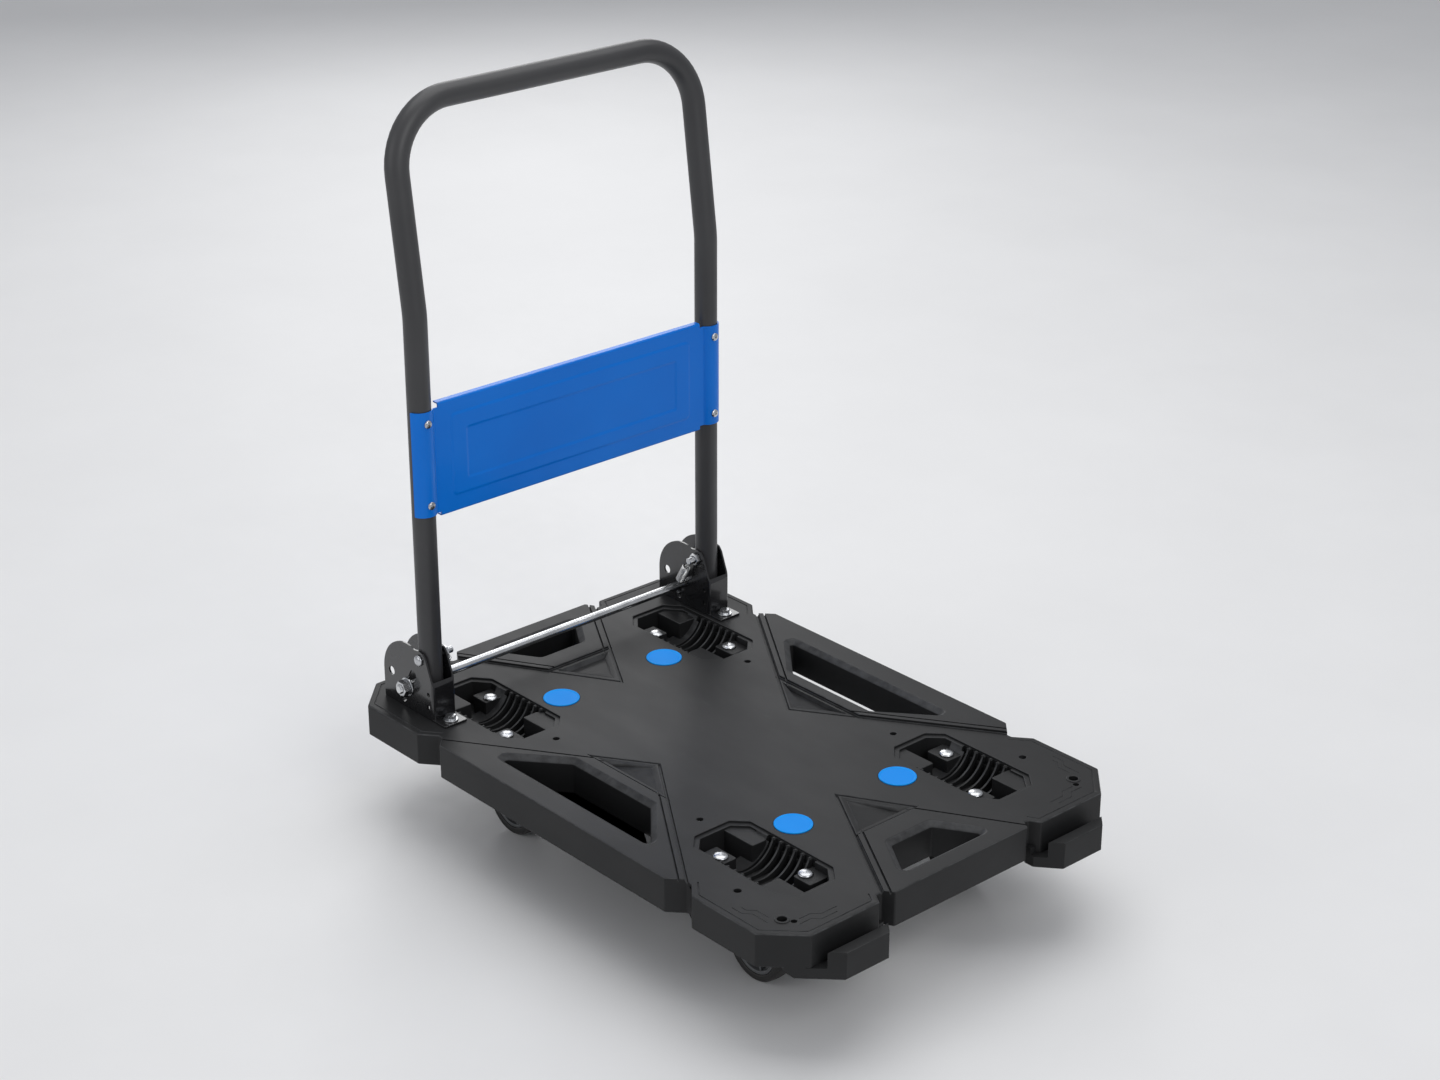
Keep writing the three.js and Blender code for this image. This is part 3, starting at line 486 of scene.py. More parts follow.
SMALL_HOLES = ((115, 137, 3.6), (-115, 137, 3.6), (242, 201, 4))
CORNERS = [(end_sign, side_sign) for _, end_sign in ENDS for _, side_sign in SIDES]


def both_sides(line):
    return [line, flip_y(line)]


def all_round(side_line, end_line):
    """Outlines on both sides and at both ends."""
    return [side_line, flip_y(side_line), end_line, flip_x(end_line)]


def at_nest(line, corner):
    end_sign, side_sign = corner
    return wound([(end_sign * (NEST_X + u), side_sign * (NEST_Y + v)) for u, v in line])


def along_x(line, corner):
    """Like at_nest, for what isn't mirrored from end to end: u runs along +X at both ends."""
    end_sign, side_sign = corner
    return wound([(end_sign * NEST_X + u, side_sign * (NEST_Y + v)) for u, v in line])


def sloped_pocket(points, depth, tip_depth):
    """Cutter for a triangular hollow that is deepest beside its base; points are its tip and base ends."""
    tip, a, b = (Vector(p) for p in points)
    middle = (a + b) / 2
    floor = [tip.lerp(middle, 0.42)] + [p.lerp(middle, 0.16).lerp(tip, 0.05) for p in (a, b)]
    floor_z = [-tip_depth, -depth, -depth]
    top = [(p.x, p.y, 0.05) for p in (tip, a, b)]
    over = [(p.x, p.y, 4.0) for p in (tip, a, b)]
    mesh = loft([[(p.x, p.y, z) for p, z in zip(floor, floor_z)], top, over])
    return outward(mesh)


def lobe_lines():
    """Fine stepped lines pressed into the corners at the hook end."""
    lines = [[(262, 226), (276, 226), (283, 219), (304, 219)],
             [(268, 219), (274, 219), (281, 212), (298, 212)],
             [(333, 156), (333, 176), (326, 183), (326, 198)],
             [(326, 150), (326, 170), (319, 177), (319, 192)]]
    return [line for one in lines for line in both_sides(one)]


def nest_cuts(corner):
    """Cutters for the pocket of a nest and for its shallow rim."""
    deep = [(-70, -20), (-56, -34), (56, -34), (73, -20), (73, 20), (56, 34), (-56, 34), (-70, 20)]
    rim = [(-75, -23), (-60, -38), (60, -38), (78, -23), (78, 23), (60, 38), (-60, 38), (-75, 23)]
    return [("DIFFERENCE", well(fillet(at_nest(rim, corner), 3), -2.2, 0, 0.7)),
            ("DIFFERENCE", well(fillet(at_nest(deep, corner), 2.5), -SKIRT + 6, -2.2, 0.8))]


def nest_ledges(corner):
    """Four shelves in a pocket: two high ones, and two low ones that carry the bolts."""
    shelves = [([(-72, -36), (-34, -36), (-28, -30), (-28, -12), (-72, -12)], -4.5),
               ([(75, 36), (34, 36), (34, 10), (75, 10)], -4.5),
               ([(-58, 9), (-28, 9), (-28, 36), (-58, 36)], -10),
               ([(34, -36), (58, -36), (58, -9), (34, -9)], -10)]
    return [slab(fillet(at_nest(line, corner), 1.8, 2), -SKIRT + 1, high, top=0.9) for line, high in shelves]


def nest_fins(corner):
    """Six thin fins and one broad saddle, all hollowed by the round of a wheel."""
    end_sign, side_sign = corner
    middles = [FIN_START + k * FIN_PITCH for k in range(FIN_COUNT)]
    strips = [(middle - FIN_HALF, middle + FIN_HALF) for middle in middles]
    solids = [slab(along_x(box_line(a, b, -37, 37), corner), -SKIRT + 5, -1.4, top=0.5) for a, b in strips]
    solids.append(slab(along_x(box_line(-46, -26, -36, 36), corner), -SKIRT + 5, -2.5, top=0.5))
    round_wheel = turned(there_and_back([(0.0, -90), (FIN_HOLLOW, -90)]), 72, "x")
    moved(round_wheel, end_sign * NEST_X, side_sign * NEST_Y, 10)
    return cut(join(solids[0], *solids[1:]), round_wheel)


def nest_teeth(corner):
    """Cutters for the comb of small notches between the fins, along both long walls."""
    land = 2 * FIN_HALF
    gaps = [(FIN_START + k * FIN_PITCH + land, FIN_START + (k + 1) * FIN_PITCH - land)
            for k in range(-1, FIN_COUNT)]
    return [slab(along_x(box_line(a, b, *span), corner), -11, 1)
            for a, b in gaps for span in ((32, 37.2), (-37.2, -32))]


def hook(side_sign):
    """Coupling hook: it runs out under the skirt and turns up."""
    low, tip = -47.5, -18
    profile = [(326, -SKIRT - 0.5), (337, low), (372, low), (372, tip), (359, tip), (359, -SKIRT),
               (344, -SKIRT), (344, -28), (326, -28)]
    profile = fillet(profile[:6], 1.2, 2) + profile[6:]
    plan = [(324, 104), (348, 104), (372, 124), (372, 180), (348, 204), (330, 222), (324, 222)]
    plan = wound([(x, side_sign * y) for x, y in fillet(plan, 1.6, 2)])
    side = lying(slab(profile, -HALF_WIDTH, HALF_WIDTH))
    return carve(side, ("INTERSECT", slab(plan, low - 2, 0)))


def underside():
    """Crossed ribs and boxed walls under the skin."""
    low, half = -SKIRT + 3, 1.5
    inside = grow(fillet(DECK_OUTLINE, 3.5), -2)
    walls = [slab(box_line(x - half, x + half, -HALF_WIDTH, HALF_WIDTH), low, -1)
             for x in (-315, -130, -65, 0, 65, 130, 315)]
    walls += [slab(box_line(-318, 318, y - half, y + half), low, -1) for y in (-100, -50, 0, 50, 100)]
    return carve(join(walls[0], *walls[1:]), ("INTERSECT", slab(inside, low - 1, 0)))


def deck_mesh():
    outline = fillet(DECK_OUTLINE, 3.0)
    shell = cut(slab(outline, -SKIRT, 0, top=1.8, bottom=0.8), slab(grow(outline, -SKIN), -SKIRT - 3, -SKIN))
    plateaus = [slab(fillet(line, 1.6), -SKIN, PLATEAU, top=1.3)
                for line in all_round(SIDE_PLATEAU, END_PLATEAU)]
    collars = [slab(grow(line, SKIN), -SKIRT, 0) for line in all_round(SIDE_SLOT, END_SLOT)]
    nest_wall = [(-73, -22), (-58, -37), (58, -37), (76, -22), (76, 22), (58, 37), (-58, 37), (-73, 22)]
    collars += [slab(grow(at_nest(nest_wall, corner), SKIN), -SKIRT, -0.5) for corner in CORNERS]
    trays = [slab(grow(wound(line), SKIN), -9, -1) for line in all_round(SIDE_POCKET, END_POCKET)]
    body = join(shell, *plateaus, underside(), *collars, *trays, *[hook(sign) for _, sign in SIDES])
    cuts = []
    for line in all_round(SIDE_SLOT, END_SLOT):
        rounded = wound(fillet(line, 3))
        funnel = [(grow(rounded, d), z) for d, z in ((0, -SKIRT - 3), (0, -3.4), (0.5, -2.2), (1.6, -1.4),
                  (5.6, 1.9), (6.6, 2.35), (7.6, 2.52), (7.6, 6))]
        cuts.append(stack(funnel))
    for end_sign, side_sign in CORNERS:
        seat = circle(end_sign * PAD_X, side_sign * PAD_Y, 20.3, 64)
        cuts.append(well(seat, -1.5, 0, 0.5))
    for points in all_round(SIDE_POCKET, END_POCKET):
        tip = min(points, key=lambda p: min(abs(p[0]), abs(p[1])))
        cuts.append(sloped_pocket([tip, *[p for p in points if p != tip]], 5.0, 2.2))
    for line in all_round(SIDE_VEE, END_VEE):
        outer = 1 if line[0][0] * line[1][1] - line[0][1] * line[1][0] > 0 else -1
        cuts.append(groove(line, 0, 2.6, 2.2))
        cuts.append(groove(line, 8 * outer, 1.5, 1.0))
    for line in all_round([(66, 135.3), (-66, 135.3)], [(243.3, 46), (243.3, -46)]):
        cuts.append(groove(line, 0, 2.6, 2.2))
    cuts += [groove(line, 0, 1.0, 0.6) for line in lobe_lines()]
    for end_sign, side_sign in CORNERS:
        cuts.append(groove([(end_sign * x, side_sign * y) for x, y in LOBE_LINE], 0, 1.3, 0.8))
    body = cut(body, *cuts)
    body = carve(body, *[step for corner in CORNERS for step in nest_cuts(corner)])
    body = join(body, *[nest_fins(corner) for corner in CORNERS])
    body = cut(body, *[notch for corner in CORNERS for notch in nest_teeth(corner)])
    body = join(body, *[ledge for corner in CORNERS for ledge in nest_ledges(corner)])
    drills = []
    for end_sign, side_sign in CORNERS:
        for u, v in CASTER_BOLTS:
            hole = circle(end_sign * (NEST_X + u), side_sign * (NEST_Y + v), 4.4, 24)
            drills.append(slab(hole, -SKIRT - 3, 3))
    for _, side_sign in SIDES:
        for x, y, radius in SMALL_HOLES:
            drills.append(well(circle(x, side_sign * y, radius, 24), -SKIN - 3, 0, 0.6))
        for x in FOOT_BOLTS:
            drills.append(slab(circle(x, side_sign * LEG_Y, 3.5, 20), -SKIN - 3, 3))
    bosses, bores = [], []
    for _, side_sign in SIDES:
        (x, y), (second_x, second_y) = CORNER_HOLE, SECOND_HOLE
        bosses.append(slab(circle(x, side_sign * y, 7.6, 40), -12, 0.9, top=0.7))
        bores.append(well(circle(x, side_sign * y, 5, 32), -14, 0.9, 0.6))
        bores.append(well(circle(second_x, side_sign * second_y, 3.2, 24), -SKIN - 3, 0, 0.5))
    body = join(body, *bosses)
    return cut(body, *drills, *bores)


def pad_mesh():
    """Disc with a low raised rim."""
    return turned([(0.0, -1.2), (19.6, -1.2), (19.9, -0.6), (19.9, 0.5), (19.5, 0.95), (18.6, 1.0),
                   (18.0, 0.75), (17.6, 0.45), (0.0, 0.45)], 72, "z")


piece("deck_shell", deck_mesh(), DECK_AT, "deck", DECK_PLASTIC, ["deck"], smooth=34)
for end, end_sign in ENDS:
    for side, side_sign in SIDES:
        at = DECK_AT + Vector((end_sign * PAD_X, side_sign * PAD_Y, 0)) * MM
        piece(f"pad_{end}_{side}", pad_mesh(), at, "deck", PAD_BLUE, [f"grip_pad_{end}_{side}"])


# ---- swept wires and tubes
def rounded_path(points, radii, steps):
    """A polyline in space with each inner corner turned into an arc of its own radius."""
    points = [Vector(p) for p in points]
    out = [points[0]]
    for before, corner, after, r in zip(points, points[1:], points[2:], radii):
        a, b = (before - corner).normalized(), (after - corner).normalized()
        half = a.angle(b) / 2
        centre = corner + (a + b).normalized() * (r / math.sin(half))
        first = corner + a * (r / math.tan(half)) - centre
        last = corner + b * (r / math.tan(half)) - centre
        turn = first.rotation_difference(last)
        for k in range(steps + 1):
            spoke = first.copy()
            spoke.rotate(Matrix.Rotation(turn.angle * k / steps, 4, turn.axis).to_quaternion())
            out.append(centre + spoke)
    out.append(points[-1])
    return out


def sweep_rings(path, radius, sides):
    """Rings of a round section carried along a path without twist."""
    tangents = [(b - a).normalized() for a, b in zip(path, path[1:])]
    rings, side = [], tangents[0].orthogonal().normalized()
    for k, point in enumerate(path):
        before, after = tangents[max(k - 1, 0)], tangents[min(k, len(tangents) - 1)]
        along = (before + after).normalized()
        side = (side - along * side.dot(along)).normalized()
        up = along.cross(side)
        rings.append([point + (side * math.cos(t) + up * math.sin(t)) * radius
                      for t in (2 * math.pi * j / sides for j in range(sides))])
    return rings


def swept(path, radius, sides=24):
    return outward(loft([[tuple(p) for p in ring] for ring in sweep_rings(path, radius, sides)]))


def shaft(length, radius, chamfer=0.8, sides=48, axis="y"):
    """Round bar about the axis, centred, with chamfered ends."""
    h = length / 2
    return turned([(0.0, -h), (radius - chamfer, -h), (radius, -h + chamfer), (radius, h - chamfer),
                   (radius - chamfer, h), (0.0, h)], sides, axis)


def threaded(length, radius, pitch=1.25, sides=32):
    """Stretch of bar with ridges like a thread, about Y from 0."""
    profile = [(0.0, 0), (radius - 0.5, 0)]
    turns = int(length / pitch)
    for k in range(turns):
        profile += [(radius, (k + 0.5) * pitch), (radius - 0.55, (k + 1) * pitch)]
    profile += [(radius - 1.0, turns * pitch + 0.6), (0.0, turns * pitch + 0.6)]
    return turned(profile, sides, "y")


def hexagon(radius):
    angles = [math.radians(60 * k) for k in range(6)]
    return [(radius * math.cos(a), radius * math.sin(a)) for a in angles]


def hex_nut(thickness, across, bore, sides=48):
    """Nut about Z from 0, its corners chamfered by a turned envelope."""
    r = across / math.sqrt(3)
    rise = 0.30 * (r - across / 2) * 2
    envelope = turned([(0.0, 0), (across / 2 - 0.2, 0), (r + 0.2, rise), (r + 0.2, thickness - rise),
                       (across / 2 - 0.2, thickness), (0.0, thickness)], sides, "z")
    body = carve(slab(hexagon(r), -1, thickness + 1), ("INTERSECT", envelope))
    if bore:
        hole = turned([(0.0, -1), (bore + 0.9, -1), (bore, 0.8), (bore, thickness - 0.8),
                       (bore + 0.9, thickness + 1), (0.0, thickness + 1)], sides, "z")
        body = cut(body, hole)
    return body


def facing(mesh, axis, sign=1):
    """Turns a mesh built along +Z to stand along X or Y."""
    turn = math.pi / 2 * sign
    mesh.transform(Matrix.Rotation(turn, 4, "Y") if axis == "x" else Matrix.Rotation(-turn, 4, "X"))
    return mesh


def dome_head(radius, height, cross=True):
    """Round head about Z from 0, with a cross recess."""
    steps = 7
    angles = [math.pi / 2 * k / steps for k in range(steps)]
    arc = [(radius * math.cos(a), height * (0.18 + 0.82 * math.sin(a))) for a in angles]
    body = turned([(0.0, 0), (radius - 0.2, 0), *arc, (0.0, height)], 40, "z")
    if cross:
        arm, wide = radius * 0.52, radius * 0.13
        bars = [stack([(box_line(-arm * 0.5, arm * 0.5, -wide * 0.6, wide * 0.6), height * 0.35),
                       (box_line(-arm, arm, -wide, wide), height + 0.5)]) for _ in range(2)]
        bars[1].transform(Matrix.Rotation(math.pi / 2, 4, "Z"))
        body = cut(body, *bars)
    return body


# ---- handle, in a frame on its pivot line
TUBE, TUBE_WALL = 12.7, 1.5
TAIL, LEG, UPPER = 36, 385, 214  # below the pivot, up to the bend, and from the bend to the top
LEAN = math.radians(7.5)  # of the upper stretch
BAR = 5  # radius of the lock bar
BAR_REST, BAR_HIGH, BAR_LOW = 45.4, 25.4, 63.8  # its distances from the pivot
SLIDE = Vector(JOINTS["lock_bar_slide"]["axis"])
PANEL_LOW, PANEL_HEIGHT, PANEL_HALF = 162, 127, 180
FACE, SHEET = 9, 1.5  # how far the panel's face is in front of the pivot line, and its thickness
WRAP = TUBE + 0.3  # inner radius of the panel's wings, round the tube
PANEL_SCREWS = [(sign * LEG_Y, z) for _, sign in SIDES
                for z in (PANEL_LOW + 18, PANEL_LOW + PANEL_HEIGHT - 18)]


def panel_screw_bores(length):
    return [moved(shaft(length, 2.6, 0.1, 24, "x"), 14, y, z) for y, z in PANEL_SCREWS]


def handle_path():
    top = Vector((-UPPER * math.sin(LEAN), LEG_Y, LEG + UPPER * math.cos(LEAN)))
    corners = [(0, LEG_Y, -TAIL), (0, LEG_Y, LEG), tuple(top), (top.x, -LEG_Y, top.z), (0, -LEG_Y, LEG),
               (0, -LEG_Y, -TAIL)]
    return rounded_path(corners, [120, 70, 70, 120], 14)


def slot_line(near, far, radius, steps=8):
    """Outline (x, z) of a slot along the lock bar's travel."""
    along = Vector((-SLIDE.x, -SLIDE.z))
    side = Vector((-along.y, along.x))
    out = []
    for distance, first in ((far, 0.0), (near, math.pi)):
        for k in range(steps + 1):
            a = first + math.pi * k / steps
            spoke = side * math.cos(a) + along * math.sin(a)
            out.append((along.x * distance + spoke.x * radius, along.y * distance + spoke.y * radius))
    return wound(out)


def handle_tube_mesh():
    path = handle_path()
    outer = sweep_rings(path, TUBE, 44)
    inner = sweep_rings(path, TUBE - TUBE_WALL, 44)
    mesh = outward(loft([[tuple(p) for p in ring] for ring in outer + inner[::-1]], closed=True))
    notch = lying(slab(slot_line(BAR_HIGH, BAR_REST, BAR + 0.5), -LEG_Y - 20, LEG_Y + 20))
    bores = [moved(shaft(60, 4.3, 0.1, 32), 0, sign * LEG_Y, 0) for _, sign in SIDES]
    return cut(mesh, notch, *bores, *panel_screw_bores(24))


def over_sheet(sections):
    """Solid through (y, z) outlines at depths x."""
    mesh = stack(sections)
    mesh.transform(Matrix(((0, 0, 1, 0), (1, 0, 0, 0), (0, 1, 0, 0), (0, 0, 0, 1))))
    return mesh


def panel_mesh():
    low, high = PANEL_LOW, PANEL_LOW + PANEL_HEIGHT
    back = FACE - SHEET
    front_corners = slice(5, 15)  # the two rounded corners at the face, of five points each
    outer = fillet([(1, low), (FACE, low), (FACE, high), (1, high)], 2.2, 4)[front_corners]
    inner = [(1, low + SHEET), (back, low + SHEET), (back, high - SHEET), (1, high - SHEET)]
    inner = fillet(inner, 0.9, 4)[front_corners]
    channel = [(1, low), *outer, (1, high), (1, high - SHEET), *inner[::-1], (1, low + SHEET)]
    body = lying(slab(wound(channel), -PANEL_HALF, PANEL_HALF))
    raised = fillet(box_line(-162, 162, low + 21, high - 19), 3.5)
    sunk = fillet(box_line(-145, 145, low + 34, high - 35), 3)
    rise = [(3.4, 0.0), (2.8, 0.14), (1.2, 0.66), (0.4, 0.86), (-0.4, 0.9)]  # outwards, and up from the sheet
    body = join(body, over_sheet([(grow(raised, 3.4), back + 0.3),
                                  *[(grow(raised, out), FACE - 0.02 + up) for out, up in rise]]))
    body = cut(body, over_sheet([(grow(raised, 1.4), back - 2), (grow(raised, 1.4), back + 0.1),
                                 (grow(raised, -0.6), back + 0.8)]))
    body = join(body, over_sheet([(grow(sunk, 2.2), back), (grow(sunk, 2.2), FACE)]))
    body = cut(body, over_sheet([(grow(sunk, -2.6), FACE + 0.02), (grow(sunk, -1.9), FACE + 0.10),
                                 (grow(sunk, -0.2), FACE + 0.62), (grow(sunk, 0.6), FACE + 0.86),
                                 (grow(sunk, 1.4), FACE + 1.0), (grow(sunk, 1.4), FACE + 3)]))
    wings = []
    for _, sign in SIDES:
        r_out, r_in = WRAP + SHEET, WRAP
        rim_out, rim_in = -math.acos(FACE / r_out), -math.acos(back / r_in)
        tip = math.radians(77)
        steps = 22
        arc = [(r_out * math.cos(a), LEG_Y + r_out * math.sin(a))
               for a in (rim_out + (tip - rim_out) * k / steps for k in range(steps + 1))]
        under = [(r_in * math.cos(a), LEG_Y + r_in * math.sin(a))
                 for a in (tip + (rim_in - tip) * k / steps for k in range(steps + 1))]
        line = [(FACE, PANEL_HALF - 3), *arc, *under, (back, PANEL_HALF - 3)]
        line = wound([(x, sign * y) for x, y in line])
        wings.append(slab(line, low + 5, high - 5, top=0.4, bottom=0.4))
    return cut(join(body, *wings), *panel_screw_bores(20))


def tail_plug_mesh(sign):
    dome = turned([(0.0, -1.7), (11.2, -1.7), (12.1, -1.2), (12.3, -0.6), (12.3, -0.3), (10.5, -0.3),
                   (10.5, 4), (9.5, 5), (0.0, 5)], 48, "z")
    return moved(dome, 0, sign * LEG_Y, -TAIL)


piece("handle_bent_tube", handle_tube_mesh(), PIVOT_AT, "handle", TUBE_BLACK, ["handle_tube"])
piece("handle_panel", panel_mesh(), PIVOT_AT, "handle", PANEL_BLUE, ["panel"], smooth=28)
for side, sign in SIDES:
    piece(f"tail_cap_{side}", tail_plug_mesh(sign), PIVOT_AT, "handle", CAP_PLASTIC,
          [f"tail_plug_{side}"])
for y, z in PANEL_SCREWS:
    place = f"{'left' if y > 0 else 'right'}_{'top' if z > PANEL_LOW + PANEL_HEIGHT / 2 else 'bottom'}"
    seat = WRAP + SHEET + 0.2
    head = moved(facing(dome_head(4.5, 2.4), "x"), seat, y, z)
    shank = moved(shaft(seat - 4, 2.3, 0.4, 24, "x"), (seat + 4) / 2, y, z)
    zinc_piece(f"panel_dome_screw_{place}", join(head, shank), PIVOT_AT, "handle", f"panel_screw_{place}")


# ---- pivot brackets and lock bar
CHANNEL_HALF, CHANNEL_WALL = 15, 2
BRACKET_BACK, BRACKET_FRONT, TAB = -318, -230, 20
PIVOT_IN_DECK = (PIVOT_AT - DECK_AT) / MM


def plate_line():
    """Outline (x, z) of a bracket's side plate, round at the back."""
    x, z, radius = -275, 35, 43
    angles = [math.radians(a) for a in range(70, 181, 5)]
    arc = [(x + radius * math.cos(a), z + radius * math.sin(a)) for a in angles]
    return [(BRACKET_BACK, 0.3), (BRACKET_FRONT, 0.3), (BRACKET_FRONT, 40), (-241.5, 70), (-246, 75.5),
            (-252, 77), *arc]


def bracket_mesh(sign):
    middle = sign * LEG_Y
    lo, hi, wall = middle - CHANNEL_HALF, middle + CHANNEL_HALF, CHANNEL_WALL

    def through(line, reach=25):
        """Solid over an (x, z) outline that passes through both side plates."""
        return lying(slab(line, -middle - reach, -middle + reach))

    u_outer = fillet(box_line(BRACKET_BACK, BRACKET_FRONT, lo, hi), 3.2, 5)
    u_inner = fillet([(BRACKET_BACK - 9, lo + wall), (BRACKET_FRONT - wall, lo + wall),
                      (BRACKET_FRONT - wall, hi - wall), (BRACKET_BACK - 9, hi - wall)], 1.4, 4)
    channel = cut(slab(u_outer, 0.3, 80), slab(wound(u_inner), -1, 82))
    # the back corners of the channel stay square
    back = [slab(box_line(BRACKET_BACK, BRACKET_BACK + 12, y, y + wall), 0.3, 80) for y in (lo, hi - wall)]
    channel = carve(join(channel, *back), ("INTERSECT", through(wound(plate_line()), 20)))
    floor = slab(fillet(box_line(BRACKET_BACK, BRACKET_FRONT + TAB, lo, hi), 2.5), 0.3, 2.3, top=0.5)
    body = join(channel, floor)
    px, pz = PIVOT_IN_DECK.x, PIVOT_IN_DECK.z
    slot = [(x + px, z + pz) for x, z in slot_line(BAR_HIGH, BAR_LOW, BAR + 0.5)]
    cuts = [through(slot)]
    cuts += [through(circle(x, z, r, 28)) for x, z, r in ((px, pz, 4.4), (-304, 35, 5), (-238, 30, 2.5))]
    cuts.append(through(box_line(-241, -236.5, 12, 17)))
    cuts += [slab(circle(x, middle, 3.5, 20), -2, 6) for x in FOOT_BOLTS]
    return cut(body, *cuts)


def spring_mesh(sign):
    """Tension coil with a hooked wire at each end, from the pivot bolt down to the lock bar."""
    y, wire, coil = sign * (LEG_Y - 25.5), 0.95, 4.6
    top, bottom = 5.4, BAR_REST - BAR - 1.3
    first, last, turns, per_turn = 10.0, bottom - 4.5, 11.5, 16
    down, across = -SLIDE, Vector((0, 1, 0))
    out = down.cross(across)
    path = [down * top, down * (first - 2.2)]
    count = int(turns * per_turn)
    for k in range(count + 1):
        t = 2 * math.pi * k / per_turn
        grown = min(1.0, k / 6, (count - k) / 6)
        path.append(down * (first + (last - first) * k / count)
                    + (across * math.cos(t) + out * math.sin(t)) * coil * grown)
    path += [down * (last + 2.2), down * bottom]
    return moved(swept([Vector(p) for p in path], wire, 10), 0, y, 0)


def pivot_bolt_mesh(sign):
    head = CHANNEL_HALF + 0.4
    rod = moved(shaft(head + 28, 4, 0.6), 0, (head - 28) / 2, 0)
    dome = moved(facing(dome_head(6.4, 4.0, cross=False), "y"), 0, head, 0)
    mesh = join(rod, dome)
    if sign < 0:
        mesh.transform(Matrix.Rotation(math.pi, 4, "Z"))
    return moved(mesh, 0, sign * LEG_Y, 0)


def outside(mesh, sign, distance):
    """Places a mesh built along +Z from 0 outwards along Y, at a distance from the bracket's middle."""
    return moved(facing(mesh, "y", sign), 0, sign * (LEG_Y + distance), 0)


def lock_bar_mesh():
    """Bar from bracket to bracket, with a threaded end beyond each."""
    half, overhang, thread = LEG_Y + CHANNEL_HALF, 13, 14
    ends = []
    for _, sign in SIDES:
        end = moved(threaded(thread, BAR), 0, half + overhang - thread - 0.5, 0)
        if sign < 0:
            end.transform(Matrix.Rotation(math.pi, 4, "Z"))
        ends.append(end)
    return join(shaft(2 * half, BAR, 0.3, 56), *ends)


def lock_washer_mesh():
    return turned([(5.3, 0.0), (10.1, 0.0), (10.5, 0.4), (10.5, 1.4), (10.1, 1.8), (5.3, 1.8)], 56, "z")


def foot_bolt_mesh(x, y):
    """Washer, nut, shank and lower nut at a place on the deck."""
    washer = turned([(0.0, 0), (7.7, 0), (8.0, 0.3), (8.0, 1.1), (7.7, 1.4), (0.0, 1.4)], 40, "z")
    return join(moved(washer, x, y, 2.5), moved(hex_nut(4.6, 10, 0), x, y, 3.7),
                moved(shaft(16, 3, 0.5, 24, "z"), x, y, -3.0), moved(hex_nut(5.2, 10, 0), x, y, -9.5))


BAR_AT = PIVOT_AT - SLIDE * BAR_REST * MM
piece("lock_bar_rod", lock_bar_mesh(), BAR_AT, "lock_bar", ROD_ZINC, ["lock_bar"])

for side, sign in SIDES:
    washer = outside(lock_washer_mesh(), sign, CHANNEL_HALF + 0.3)
    zinc_piece(f"lock_washer_{side}", washer, BAR_AT, "lock_bar", f"bar_washer_{side}")
    nut = outside(hex_nut(8, 15.6, 5.05), sign, CHANNEL_HALF + 2.4)
    zinc_piece(f"lock_nut_{side}", nut, BAR_AT, "lock_bar", f"bar_nut_{side}")
    piece(f"bracket_{side}", bracket_mesh(sign), DECK_AT, "deck", BRACKET_BLACK,
          [f"pivot_bracket_{side}"], smooth=35, bevel=0.35)
    zinc_piece(f"pivot_pin_{side}", pivot_bolt_mesh(sign), PIVOT_AT, "deck", f"pivot_bolt_{side}")
    nut = moved(facing(hex_nut(5, 12.5, 4.2), "y", -sign), 0, sign * (LEG_Y - CHANNEL_HALF - 0.3), 0)
    zinc_piece(f"pivot_lock_nut_{side}", nut, PIVOT_AT, "deck", f"pivot_nut_{side}")
    coil = piece(f"lock_coil_spring_{side}", spring_mesh(sign), PIVOT_AT, "", SPRING_STEEL,
                 [f"lock_spring_{side}"])
    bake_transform(coil)
    for x, place in zip(FOOT_BOLTS, ("front", "rear")):
        zinc_piece(f"foot_bolt_{place}_{side}", foot_bolt_mesh(x, sign * LEG_Y), DECK_AT, "deck",
                   f"bracket_bolt_{place}_{side}")


# ---- casters, in a frame on the floor
WHEEL, WHEEL_HALF, TRAIL = 37.5, 12.5, 32
FORK_INNER, FORK_SHEET = 16, 2.5
PLATE_TOP = DECK_AT.z / MM - SKIRT - 0.3
PLATE_LOW = PLATE_TOP - FORK_SHEET
CROWN = PLATE_LOW - 5.5
PLATE_BOLTS = [(x, y) for x in (-BOLT_X, BOLT_X) for y in (-BOLT_Y, BOLT_Y)]


def plate_mesh():
    plate = slab(fillet(box_line(-50, 50, -31, 31), 5), PLATE_LOW, PLATE_TOP, top=0.4, bottom=0.4)
    return cut(plate, *[slab(circle(x, y, 4.3, 24), PLATE_LOW - 2, PLATE_TOP + 2) for x, y in PLATE_BOLTS])


def leg_plates(outline, radius=3.0):
    line = wound(fillet(outline, radius))
    return [lying(slab(line, -y - FORK_SHEET, -y, top=0.5, bottom=0.5))
            for y in (-FORK_INNER - FORK_SHEET, FORK_INNER)]


def axle_beads(x, radius):
    """Raised rings round the axle on both legs of a fork."""
    return [moved(shaft(3.4, radius, 1.2, 40), x, y, WHEEL) for y in (-FORK_INNER - 1.9, FORK_INNER + 1.9)]


def axle_bore(x):
    return moved(shaft(70, 4.25, 0.1, 32), x, 0, WHEEL)


def fixed_fork_mesh():
    legs = leg_plates([(-30, PLATE_TOP - 1), (-30, 90), (-15, 40), (-12, 28), (12, 28), (15, 40), (30, 90),
                       (30, PLATE_TOP - 1)], 6)
    return cut(join(plate_mesh(), *legs, *axle_beads(0, 9.5)), axle_bore(0))


